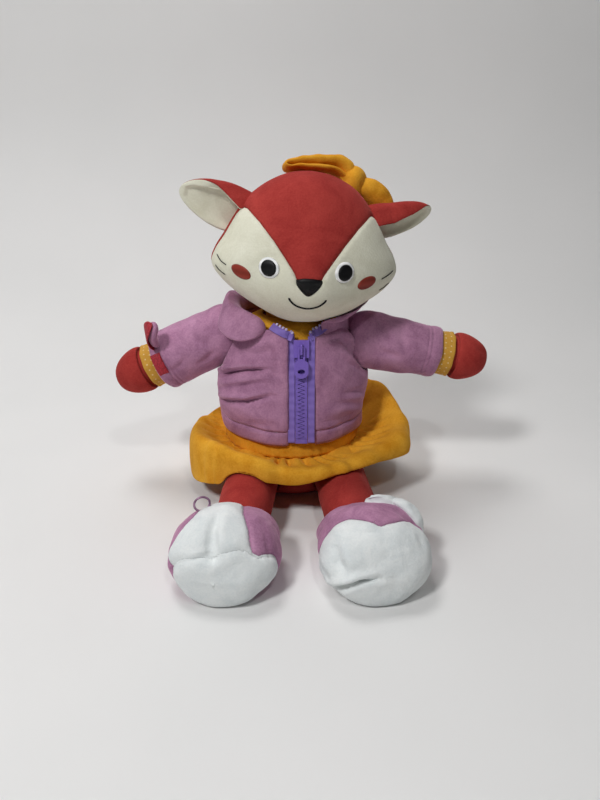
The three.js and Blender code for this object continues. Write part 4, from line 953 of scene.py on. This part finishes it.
def tube(name, place, shape_at, around, along):
    """A sleeve round an arm's own z axis, open at its far end, with a map of its cloth in metres."""
    piece, turn, share = flat_grid(name, around, along)
    turn = turn * 2 * math.pi
    radius, height = shape_at(turn, share)
    cloth = piece.data.uv_layers[0].data
    for loop in piece.data.loops:
        point = loop.vertex_index
        cloth[loop.index].uv = (turn[point] * cloth_radius, height[point] / 1000)
    co = np.stack([radius * np.cos(turn), radius * np.sin(turn), height], 1)
    put_points(piece, placed(co, place))
    mended(piece, merge=0.01)
    return piece


# Plain-woven cotton with a pigment print: fine threads both ways, and flat round dots.
dotted_cotton, tree, shader, where = blank_material("dotted_cotton")
# Dots of about 1.3 mm stand 5.2 mm apart round the cuff, in rows 4.4 mm apart. The map runs round the
# cuff at a radius of 20 mm, in metres.
dot_gap, row_gap, dot_solid, dot_edge, cloth_radius = 5.2, 4.4, 0.5, 0.78, 0.02
parts = add_node(tree, "SeparateXYZ", {0: add_node(tree, "UVMap").outputs[0]})
row = add_node(tree, "Math", {0: parts.outputs[1], 1: 1000 / row_gap}, operation="MULTIPLY")
row_share = add_node(tree, "Math", {0: row.outputs[0]}, operation="FRACT")
row_number = add_node(tree, "Math", {0: row.outputs[0]}, operation="FLOOR")
stagger = add_node(tree, "Math", {0: row_number.outputs[0], 1: 0.5}, operation="MULTIPLY")
column = add_node(tree, "Math", {0: parts.outputs[0], 1: 1000 / dot_gap, 2: stagger.outputs[0]},
                  operation="MULTIPLY_ADD")
column_share = add_node(tree, "Math", {0: column.outputs[0]}, operation="FRACT")
off_x = add_node(tree, "Math", {0: column_share.outputs[0], 1: dot_gap, 2: -dot_gap / 2},
                 operation="MULTIPLY_ADD")
off_y = add_node(tree, "Math", {0: row_share.outputs[0], 1: row_gap, 2: -row_gap / 2},
                 operation="MULTIPLY_ADD")
off = add_node(tree, "CombineXYZ", {0: off_x.outputs[0], 1: off_y.outputs[0]})
far = add_node(tree, "VectorMath", {0: off.outputs[0]}, operation="LENGTH")
dot = add_node(tree, "MapRange", {0: far.outputs["Value"], 1: dot_edge, 2: dot_solid})
slub = add_node(tree, "TexNoise", {"Vector": where, "Scale": 1000 / 1.1, "Detail": 2.0})
ground = add_node(tree, "Mix", {0: slub.outputs["Fac"], 6: linear("#C08A2A"), 7: linear("#D8A440")},
                  data_type="RGBA")
print_mix = add_node(tree, "Mix", {0: dot.outputs[0], 6: ground.outputs[2], 7: linear("#E4CB93")},
                     data_type="RGBA")
tree.links.new(print_mix.outputs[2], shader.inputs["Base Color"])
bump = add_node(tree, "Bump", {"Strength": 0.4, "Distance": 0.0003, "Height": slub.outputs["Fac"]})
tree.links.new(bump.outputs[0], shader.inputs["Normal"])
shader.inputs["Roughness"].default_value = 0.85
cuff_start, cuff_length = -6, 73.2
cuff_rows = [(-6, 18.6), (0, 19.3), (56, 16.9), (61, 17.3), (67.5, 17.9)]


def cuff_shape(turn, share):
    """The dress sleeve's radius and height: it narrows, and its end frills out a little."""
    height = cuff_start + cuff_length * share
    frill = 0.35 * np.clip((height - 58) / 9, 0, 1) * np.sin(turn * 9 + 1)
    stitch = 0.35 * np.exp(-((height - 65.2) / 0.5) ** 2)
    return np.interp(height, *zip(*cuff_rows)) + frill - stitch, height


for side in ("left", "right"):
    sleeve = tube(f"dress_cuff_{side}", arm_places[side], cuff_shape, around=96, along=60)
    give_wall(sleeve, 1.0)
    finished(sleeve, dotted_cotton, f"arm_{side}", "dotted", f"dress_sleeve_{side}")


# The skirt is one ring of yellow velour, gathered into the waist seam and turned under at its hem. It
# puffs up as it leaves the waist, lies over the legs in front, and is pushed up by the ground behind.
skirt_rows = np.array([
    (0, 1.05, 0.76, 0.82), (0.1, 1.04, 1, 0.34), (0.18, 0.97, 0.93, 0.2), (0.25, 1, 0.97, 0.16),
    (0.33, 0.97, 0.8, 0.2), (0.41, 1, 0.66, 0.24), (0.5, 1, 0.7, 0.34), (0.57, 1.04, 0.75, 0.42),
    (0.63, 1.04, 0.76, 0.62), (0.69, 1.02, 0.7, 0.86), (0.75, 1, 0.6, 0.84), (0.8, 1, 0.62, 0.98),
    (0.87, 0.98, 0.66, 1.02), (0.94, 1.05, 0.72, 0.92)])
skirt_profile = [(0, 0, 0), (0.14, 0.03, 0), (0.32, 0.16, 0), (0.56, 0.66, 0), (0.74, 0.96, 0),
                 (0.86, 0.97, 0.02), (0.95, 0.74, 0.22), (0.985, 0.32, 0.66), (0.975, 0, 1)]
waist_half, waist_front, waist_back = 53.6, 50.1, 38.6
hem_middle, hem_half, hem_front, hem_back = (1, -12), 88, 67, 66
waist_up, crest_up, hem_up = 40.4, 74, 42
over_leg = 22.2


def skirt_row(turn):
    """Reach, crest and hem shares at a turn from the doll's left towards its back."""
    count = len(skirt_rows)
    starts = np.append(skirt_rows[:, 0], 1.0)
    i = np.clip(np.searchsorted(starts, turn, side="right") - 1, 0, count - 1)
    u = ((turn - starts[i]) / (starts[i + 1] - starts[i]))[:, None]
    a, b, c, d = (skirt_rows[(i + k) % count, 1:] for k in (-1, 0, 1, 2))
    return through_four(a, b, c, d, u)


skirt, turn, share = flat_grid("skirt_velour", 420, 60)
turn = turn % 1.0
row = skirt_row(turn)
profile = curve_through(skirt_profile, share)
angle = turn * 2 * math.pi
across, deep = np.cos(angle), np.sin(angle)
inner = np.stack([body_middle + across * waist_half,
                  deep * np.where(deep < 0, waist_front, waist_back)], 1)
outer = np.stack([hem_middle[0] + across * hem_half * row[:, 0],
                  hem_middle[1] + deep * np.where(deep < 0, hem_front, hem_back) * row[:, 0]], 1)
plan = inner + (outer - inner) * profile[:, :1]
height = (waist_up + profile[:, 1] * (row[:, 1] * crest_up - waist_up)
          + profile[:, 2] * (row[:, 2] * hem_up - waist_up))
# Small uneven gathers at the waist run out into a few broad soft folds.
drift = np.array([noise.noise(Vector((math.cos(a) * 2, math.sin(a) * 2, 4))) for a in angle])
gather = np.sin(angle * 36 + drift * 9) * np.exp(-((share - 0.22) / 0.17) ** 2) * (
    1.9 + 1.3 * np.exp(-((turn - 0.75) / 0.05) ** 2))
broad = np.sin(angle * 11 + drift * 14) * np.clip(share * 2 - 0.5, 0, 1) * 1.5
height += gather + broad * (0.4 + 0.6 * np.sin(share * math.pi))
plan += np.stack([across, deep], 1) * (broad * 0.8 * np.clip(share * 3 - 1.8, 0, 1))[:, None]
co = np.concatenate([plan, height[:, None]], 1)
for place in leg_places.values():
    local = placed(co, place.inverted())
    off = np.hypot(local[:, 0], local[:, 1])
    over = (off < over_leg) & (local[:, 2] > -leg_radius) & (local[:, 1] > 0)
    lift = np.sqrt(np.maximum(over_leg ** 2 - local[:, 0] ** 2, 0)) - local[:, 1]
    co[:, 2] += np.where(over, np.maximum(lift, 0), 0)
co[:, 2] = np.maximum(co[:, 2], 1.6)
put_points(skirt, co)
mended(skirt, merge=0.01)
smoothed(skirt, rounds=3, levels=0)
give_wall(skirt, 2.2, offset=0)
finished(skirt, yellow_velour, "body", "yellow", "skirt")


# The jacket's body is pink velour in three panels, a back and two fronts, sewn at the sides, each with
# a hem band sewn along its lower edge. It hangs loosely over the dress, so it creases at the waist.
jacket_folds = [
    ([(208, 377), (224, 373), (244, 370), (268, 370)], 5, 2),
    ([(210, 389), (226, 388), (264, 382)], 2.6, 2.3),
    ([(209, 397), (226, 401), (246, 402), (272, 396)], 4.6, 2.2),
    ([(236, 354), (258, 354), (280, 348)], 1.2, 4),
    ([(352, 312), (362, 334), (367, 352), (378, 380)], 2.2, 2.2),
    ([(340, 336), (353, 352), (364, 365), (378, 374)], 3.6, 2.4),
    ([(322, 347), (338, 339), (352, 344), (366, 364)], 1.8, 3),
    ([(336, 352), (350, 363), (368, 374)], 1.6, 2.4), ([(374, 386), (360, 391), (344, 394)], 2.2, 2.8),
    ([(372, 399), (356, 403), (336, 404)], 1.4, 3), ([(230, 416), (252, 424), (278, 428)], 1, 4),
    ([(320, 424), (340, 420), (356, 411)], 1, 4), ([(264, 345), (273, 362), (277, 385)], 1, 5),
    ([(228, 340), (222, 356), (218, 374)], 1.8, 2.6),
]
zip_middle, zip_foot, zip_half = 4, (4, -53.6, 57), 9.4
zip_place = Matrix.Translation(zip_foot) @ Matrix.Rotation(-math.atan2(15.6, 80), 4, "X")
jacket_low, band_top, jacket_top, side_seam_back = 54, 65, 141, 2
co, tris = round_body("jacket_form", grow=5.6, segments=240, rings=200)
bag = np.clip((co[:, 2] - 57) / 12, 0, 1) * np.clip((118 - co[:, 2]) / 30, 0, 1)
# It stands out more at the doll's left armpit, where the sleeve drags the cloth.
full = np.exp(-((co[:, 2] - 94) / 20) ** 2) * np.where(co[:, 0] > 0, 5.5, 2.5)
co[:, 0] += full * np.sign(co[:, 0]) * np.clip(np.abs(co[:, 0]) / 60, 0, 1.1) ** 2
ripple(co, tris, size=24, height=1.6, seed=31)
ripple(co, tris, size=10, height=0.5, seed=32)


def zip_gap(co):
    """How far points lie outside the jacket's slot for the zip."""
    return np.abs(placed(co, zip_place.inverted())[:, 0]) - zip_half


def jacket_edge(co):
    """Below zero on the jacket: from its hem to its neck, less the armholes and the zip's slot."""
    ahead = co[:, 1] < 0
    slot = np.where(ahead, -zip_gap(co), -9)
    neck = np.where(ahead, (co[:, 2] - 137 - np.abs(co[:, 0] - zip_middle) * 12 / 27) * 0.9, -9)
    return np.maximum.reduce([jacket_low - co[:, 2], co[:, 2] - jacket_top, -armhole(co, 24.0), slot, neck])


kept = inside(sew(co, tris, jacket_edge), tris)
hem = sew(co, tris, lambda local: local[:, 2] - band_top)
side_line = sew(co, tris, lambda local: local[:, 1] - side_seam_back)
in_hem, in_front = inside(hem, tris), inside(side_line, tris)
on_left = co[tris].mean(1)[:, 0] > zip_middle
sink(co, tris, co[hem == 0], depth=1.1, width=1.2, pull=0.5, spread=5)
sink(co, tris, co[(side_line == 0) & (co[:, 2] > 50)], depth=0.7, width=1.2, pull=0.4, spread=5)
co += normals_of(co, tris) * (0.9 * bag)[:, None]
press_folds(co, tris, jacket_folds, ridge=0.8)
# The cloth turns under at the hem and along the zip.
turned = np.exp(-((co[:, 2] - jacket_low) / 1.6) ** 2) * 1.2
turned += np.where(co[:, 1] < 0, np.exp(-(zip_gap(co) / 1.4) ** 2) * 1.3, 0)
co -= normals_of(co, tris) * turned[:, None]
jacket_tree = BVHTree.FromPolygons(co.tolist(), tris.tolist())
jacket_wall = 2.8
for name, faces, cut, cut_area in [
    ("back", ~in_front, (0.16, 0.079), 0.0108),
    ("front_left", in_front & on_left, (0.075, 0.079), 0.0048),
    ("front_right", in_front & ~on_left, (0.095, 0.079), 0.0064),
]:
    panel = cut_piece(f"jacket_{name}_velour", co, tris, kept & faces & ~in_hem, jacket_wall)
    finished(panel, pink_velour, "body", "pink", f"jacket_{name}")
    band = cut_piece(f"jacket_hem_{name}_velour", co, tris, kept & faces & in_hem, jacket_wall)
    finished(band, pink_velour, "body", "pink", f"jacket_hem_{name}")


# The collar is a padded pink velour ring, folded down on itself round the neck. Its big lobe lies on
# the doll's right chest, and the left lobe is smaller and stands higher.
steps, count, end_steps = 150, 40, 9
crown_half, crown_deep, outer_half, outer_front, outer_back = 36, 31, 58, 45, 42
rings = []
for step, turn in enumerate(np.linspace(-math.pi / 2 + 0.42, 1.5 * math.pi - 0.46, steps)):
    across, deep = math.cos(turn), math.sin(turn)
    front = max(0.0, -deep)
    small = min(1.0, max(0.0, across * 2.5)) * min(1.0, max(0.0, 1.4 - deep * 1.4))
    lobe = 1 + (0.17 * (2 * across * deep) ** 2 * (1 - small) if deep < 0 else 0)
    dip = 1 - (1 - deep * deep) ** 2
    outer = np.array([across * outer_half * lobe * (1 - 0.08 * small),
                      deep * (outer_front if deep < 0 else outer_back) * lobe * (1 + 0.08 * small)])
    low = across * 4 + 152 + ((137 if deep < 0 else 139) - 152) * dip + 12 * small * math.sqrt(front)
    crest = 160 + ((148 if deep < 0 else 151) - 160) * deep * deep + 2 * small
    inner = np.array([across * crown_half, deep * crown_deep])
    spread = 0.7 - 0.25 * deep * deep
    top = inner * (1 - spread) + outer * spread
    # Each end of the collar closes over the last few steps to a rounded edge.
    ends = min(step, steps - 1 - step) / end_steps
    close = math.sqrt(1 - (1 - ends) ** 2) if ends < 1 else 1.0
    middle = inner * 0.42 + outer * 0.58
    # The section's points: shares from the inner line to the outer one, or to the crest, and heights.
    section = [
        (inner * 0.99, 129), (inner, 136), (inner * 0.45 + top * 0.55, crest - 5),
        (inner * 0.1 + top * 0.9, crest - 1.2), (top, crest), (top * 0.75 + outer * 0.25, crest - 0.8),
        (top * 0.4 + outer * 0.6, crest * 0.55 + low * 0.45 + 1.6),
        (top * 0.1 + outer * 0.9, crest * 0.2 + low * 0.8 + 0.8), (outer * 1.01, low - 0.4),
        (outer * 1.02, low - 2.8), (outer * 0.985, low - 4.8), (inner * 0.3 + outer * 0.7, low - 4.2),
        (inner * 0.66 + outer * 0.34, low - 6), (inner * 0.84 + outer * 0.16, 131)]
    half_up = (low + crest) / 2
    section = [[*(middle + (spot - middle) * (0.25 + 0.75 * close)),
                half_up + (up - half_up) * (0.3 + 0.7 * close)] for spot, up in section]
    rings.append(curve_through(section + section[:1], np.linspace(0, 1, count + 1)[:-1]))
co = np.array(rings).reshape(-1, 3)
tris = []
for start in range(0, (steps - 1) * count, count):
    for k in range(count):
        a, b = start + k, start + (k + 1) % count
        tris += [(a, b, b + count), (a, b + count, a + count)]
for start, way in ((0, -1), ((steps - 1) * count, 1)):
    tris += [(start, start + k, start + k + 1)[::way] for k in range(1, count - 1)]
tris = np.array(tris)
ripple(co, tris, size=17, height=1.3, seed=41)
ripple(co, tris, size=8, height=0.4, seed=42)
collar_folds = [([(229, 293), (235, 309), (246, 321), (258, 328)], 1.8, 3),
                ([(228, 322), (236, 332), (250, 336)], 0.5, 2)]
press_folds(co, tris, collar_folds)
rest_on(co, jacket_tree, 0.5)
# It keeps clear of the head over the whole of its turn.
for turn_deg in (-25, -16, -8, 0, 8, 16, 25):
    swing = Matrix.Rotation(math.radians(turn_deg), 4, "Z")
    turned_head = BVHTree.FromPolygons(placed(head_world, swing).tolist(), head_tris.tolist())
    rest_on(co, turned_head, 1.2)
collar = cut_piece("collar_velour", co, tris)
mended(collar)
smoothed(collar, rounds=4, levels=0)
finished(collar, pink_velour, "body", "pink", "collar", fill=0.4)


# The jacket's sleeves are wide pink velour tubes that ride on the arms, set into round armholes. Each
# ends in a turned hem with two rows of stitching, and the cloth creases at the armpit.
sleeve_folds = {
    "left": [([(373, 313), (380, 322), (385, 333)], 1.4, 3), ([(382, 321), (388, 330), (391, 341)], 0.9, 3),
             ([(376, 350), (388, 354), (404, 358)], 1.2, 3.5),
             ([(400, 326), (404, 345), (408, 360)], 0.6, 4)],
    "right": [([(186, 330), (196, 340), (210, 346)], 0.9, 4),
              ([(172, 326), (178, 338), (190, 350)], 0.8, 3.5),
              ([(196, 366), (208, 358), (216, 350)], 1.1, 3),
              ([(170, 372), (180, 366), (186, 358)], 0.8, 2.6)],
}
sleeve_radius, sleeve_length, shoulder_share = 22.9, 57, 0.3
stitch_rows = (45.2, 48.4)


def sleeve_shape(share, end_radius):
    """The jacket sleeve's radius and height: a round shoulder, then a tube to its stitched hem."""
    height = np.where(share < shoulder_share,
                      -sleeve_radius * np.cos(share / shoulder_share * math.pi / 2),
                      (share - shoulder_share) / (1 - shoulder_share) * (sleeve_length - 0.2))
    radius = np.where(height < 0, np.sqrt(np.maximum(sleeve_radius ** 2 - height ** 2, 0)),
                      sleeve_radius + (end_radius - sleeve_radius) * height / sleeve_length)
    stitch = 0.5 * sum(np.exp(-((height - up) / 0.55) ** 2) for up in stitch_rows)
    hem = 0.5 * np.exp(-((height - 52.5) / 2.6) ** 2) - 0.9 * np.exp(-((height - sleeve_length) / 1.0) ** 2)
    return np.maximum(radius - stitch + hem, 0), height


for side, sign, end_radius in (("left", 1, 20), ("right", -1, 23.4)):
    form = tube("sleeve_form", arm_places[side], lambda turn, share: sleeve_shape(share, end_radius),
                around=160, along=120)
    co, tris = arrays_of(form)
    along_arm = placed(co, arm_places[side].inverted())[:, 2]
    before = co.copy()
    ripple(co, tris, size=14, height=1.1, seed=50 + sign)
    press_folds(co, tris, sleeve_folds[side])
    # The shoulder stays round, so that it turns in its armhole.
    co = before + (co - before) * np.clip((along_arm + 4) / 12, 0, 1)[:, None]
    sleeve = cut_piece(f"jacket_sleeve_velour_{side}", co, tris, wall=2.2)
    finished(sleeve, pink_velour, f"arm_{side}", "pink", f"jacket_sleeve_{side}")


# A padded pink strap stands on the right sleeve, with a crimson hook strip sewn on the side towards
# the hand. It folds down onto the crimson patch that is sewn to the sleeve.
# Woven nylon hook tape: a close field of tiny hooks that catch the light as a rough sparkle.
hook_tape, tree, shader, where = blank_material("crimson_hook_tape")
hook_gap_mm = 1.4
hooks = add_node(tree, "TexVoronoi", {"Vector": where, "Scale": 1000 / hook_gap_mm})
tone = add_node(tree, "Mix", {0: hooks.outputs["Distance"], 6: linear("#C2283A"), 7: linear("#86101E")},
                data_type="RGBA")
tree.links.new(tone.outputs[2], shader.inputs["Base Color"])
bump = add_node(tree, "Bump", {"Strength": 0.8, "Distance": 0.0006, "Height": hooks.outputs["Distance"]},
                invert=True)
tree.links.new(bump.outputs[0], shader.inputs["Normal"])
shader.inputs["Roughness"].default_value = 0.6
# Round the sleeve and along it, where the strap is sewn on and where the patch lies.
strap_turn, patch_turn, strap_along = -38, -80, 52.5
strap_place = (arm_places["right"] @ Matrix.Rotation(math.radians(strap_turn), 4, "Z")
               @ Matrix.Translation((23.329, 0, strap_along)) @ Matrix.Rotation(math.radians(-90), 4, "Z"))
strap_line = [(0, 0.9, -4.2), (0, 6, -4.6), (0, 11, -6.4), (0, 15, -9.4), (0, 17.5, -13), (0, 18, -14.6)]
strap_half = [(5.4, 2.4), (7.3, 3.2), (7.5, 3.4), (7.2, 3.3), (4.8, 2.6), (1.6, 0.9)]
hook_line = [(0, 0.5, -0.85), (0, 6, -0.85), (0, 12, -2), (0, 17, -4.6), (0, 20.4, -9), (0, 21.3, -12.4)]
hook_half = [(6.2, 0.5), (7.9, 0.55), (8.2, 0.6), (7.8, 0.7), (5.4, 0.7), (1.6, 0.5)]
for name, line, half, material, slot, node, fill in [
    ("strap_velour", strap_line, strap_half, pink_velour, "pink", "sleeve_strap", 0.5),
    ("strap_hook_strip_tape", hook_line, hook_half, hook_tape, "crimson", "strap_hook_strip", None),
]:
    path = bent(line, 50)
    run = np.gradient(path, axis=0)
    up = np.stack([0 * run[:, 0], -run[:, 2], run[:, 1]], 1)
    turned = np.array(strap_place)[:3, :3]
    strap = swept(name, placed(path, strap_place), up @ turned.T, bent(half, 50), 28, 0.8 if fill else 0.5)
    if fill:
        smoothed(strap, 2)
    finished(strap, material, "strap", slot, node, fill=fill)
patch_radius, patch_long, patch_wide, cloth_out = 24.8, 17, 8.2, 23.5
patch, across, along = flat_grid("strap_patch_tape", 30, 16)
across, along = across - 0.5, along - 0.5
turn = math.radians(patch_turn) + across * patch_long / cloth_out
# Its sewn edges sink into the sleeve.
radius = patch_radius - 40 * np.maximum(np.abs(across), np.abs(along)) ** 6
co = np.stack([radius * np.cos(turn), radius * np.sin(turn), strap_along + along * patch_wide], 1)
put_points(patch, placed(co, arm_places["right"]))
give_wall(patch, 0.8)
mended(patch)
finished(patch, hook_tape, "arm_right", "crimson", "strap_patch")


# The zip is a chunky moulded one: purple plastic teeth on woven purple tapes, an enamelled slider and
# its pull. The tapes are sewn behind the jacket's front edges and turn out along the open neck.
# Woven polyester tape: close ribs across it and a faint gloss.
woven_tape, tree, shader, where = blank_material("woven_zip_tape")
# Real ribs are 0.4 mm apart; they are drawn further apart so that they show.
rib_gap_mm = 1.0
ribs = add_node(tree, "TexWave", {"Vector": where, "Scale": 1000 / rib_gap_mm / 20, "Distortion": 0.4},
                bands_direction="Z")
shade = add_node(tree, "TexNoise", {"Vector": where, "Scale": 1000 / 9})
share = add_node(tree, "Math", {0: ribs.outputs["Fac"], 1: 0.4, 2: shade.outputs["Fac"]},
                 operation="MULTIPLY_ADD")
tone = add_node(tree, "Mix", {0: share.outputs[0], 6: linear("#6A51A8"), 7: linear("#9078CC")},
                data_type="RGBA")
tree.links.new(tone.outputs[2], shader.inputs["Base Color"])
bump = add_node(tree, "Bump", {"Strength": 0.5, "Distance": 0.0003, "Height": ribs.outputs["Fac"]})
tree.links.new(bump.outputs[0], shader.inputs["Normal"])
shader.inputs["Roughness"].default_value = 0.7
shader.inputs["Sheen Weight"].default_value = 0.2
tape_inner, tape_wide, tape_long = 4.9, 5.1, 81.3
for side, sign in (("left", 1), ("right", -1)):
    tape, across, along = flat_grid(f"zip_tape_woven_{side}", 14, 90)
    # A woven cord runs along the tape's inner edge, and the teeth are moulded onto it.
    out = -0.75 + 0.25 * across - 0.35 * np.exp(-(across / 0.16) ** 2)
    co = np.stack([sign * (tape_inner + across * tape_wide), out, along * tape_long], 1)
    put_points(tape, placed(co, zip_place))
    give_wall(tape, 0.5, offset=0)
    mended(tape)
    finished(tape, woven_tape, "body", "tape", f"zip_tape_{side}")

# Injection-moulded acetal: satin, with small differences from tooth to tooth.
moulded_purple, tree, shader, where = blank_material("moulded_purple_plastic")
speck = add_node(tree, "TexNoise", {"Vector": where, "Scale": 1000 / 3.0})
tone = add_node(tree, "Mix", {0: speck.outputs["Fac"], 6: linear("#6E55B0"), 7: linear("#8D74CE")},
                data_type="RGBA")
tree.links.new(tone.outputs[2], shader.inputs["Base Color"])
shader.inputs["Roughness"].default_value = 0.38
# Cast zinc with baked enamel: an even satin film with a little orange-peel.
enamel, tree, shader, where = blank_material("purple_enamel")
peel = add_node(tree, "TexNoise", {"Vector": where, "Scale": 1000 / 1.5})
tone = add_node(tree, "Mix", {0: peel.outputs["Fac"], 6: linear("#7B61BE"), 7: linear("#8A70CC")},
                data_type="RGBA")
tree.links.new(tone.outputs[2], shader.inputs["Base Color"])
bump = add_node(tree, "Bump", {"Strength": 0.15, "Distance": 0.0001, "Height": peel.outputs["Fac"]})
tree.links.new(bump.outputs[0], shader.inputs["Normal"])
shader.inputs["Roughness"].default_value = 0.3
shader.inputs["Coat Weight"].default_value = 0.3
for nodes, material in ((("zip_teeth_left", "zip_teeth_right", "zip_bottom_stop"), moulded_purple),
                        (("zip_slider", "zip_pull"), enamel)):
    for name in nodes:
        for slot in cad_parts[name].material_slots:
            slot.material = material

# The open teeth are the same plastic, paler because light comes through their thin tips.
pale_teeth, tree, shader, where = blank_material("pale_lilac_teeth")
speck = add_node(tree, "TexNoise", {"Vector": where, "Scale": 1000 / 2.0})
tone = add_node(tree, "Mix", {0: speck.outputs["Fac"], 6: linear("#A99BD0"), 7: linear("#CFC6E6")},
                data_type="RGBA")
tree.links.new(tone.outputs[2], shader.inputs["Base Color"])
shader.inputs["Roughness"].default_value = 0.35
path_steps, tooth_every = 40, 6
tooth_size = np.array([1.7, 1.9, 1.5])
for side, sign in (("left", 1), ("right", -1)):
    # The tape follows the open neck's edge, on the jacket.
    path = []
    for step in range(18):
        across, up = zip_middle + sign * (6.3 + step * 0.915), 136.3 + step * 0.407
        spot, normal = jacket_tree.ray_cast(Vector((across, -200, up)), Vector((0, 1, 0)))[:2]
        path.append(np.array(spot + normal * 0.9))
    path = bent(path, path_steps)
    outward = np.array([jacket_tree.find_nearest(Vector(point))[1] for point in path])
    tape_half = np.tile([3.0, 0.4], (path_steps, 1))
    tape = swept(f"zip_open_tape_woven_{side}", path, outward, tape_half, 20, 0.5)
    finished(tape, woven_tape, "body", "tape", f"zip_open_tape_{side}")
    bpy.ops.object.select_all(action="DESELECT")
    bpy.ops.mesh.primitive_cube_add(size=0.001)
    tooth = bpy.context.object
    tooth.name = "open_tooth_form"
    put_points(tooth, points_of(tooth) * tooth_size)
    tooth.modifiers.new("round", "BEVEL").width = 0.0004
    tooth.modifiers["round"].segments = 2
    bpy.ops.object.modifier_apply(modifier="round")
    tooth_co, tooth_tris = arrays_of(tooth)
    all_co, all_tris = [], []
    run = np.gradient(path, axis=0)
    for k in range(3, path_steps - 2, tooth_every):
        forward = run[k] / np.linalg.norm(run[k])
        rise = np.cross(outward[k], forward)
        rise *= np.sign(rise[2])
        spot = path[k] + rise * 3.2 + outward[k] * 0.5
        all_tris.append(tooth_tris + len(tooth_co) * len(all_co))
        all_co.append(spot + tooth_co @ np.array([forward, rise, outward[k]]))
    teeth = cut_piece(f"zip_open_teeth_{side}", np.concatenate(all_co), np.concatenate(all_tris))
    mended(teeth)
    teeth.data.materials.append(pale_teeth)
    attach(teeth, "body")
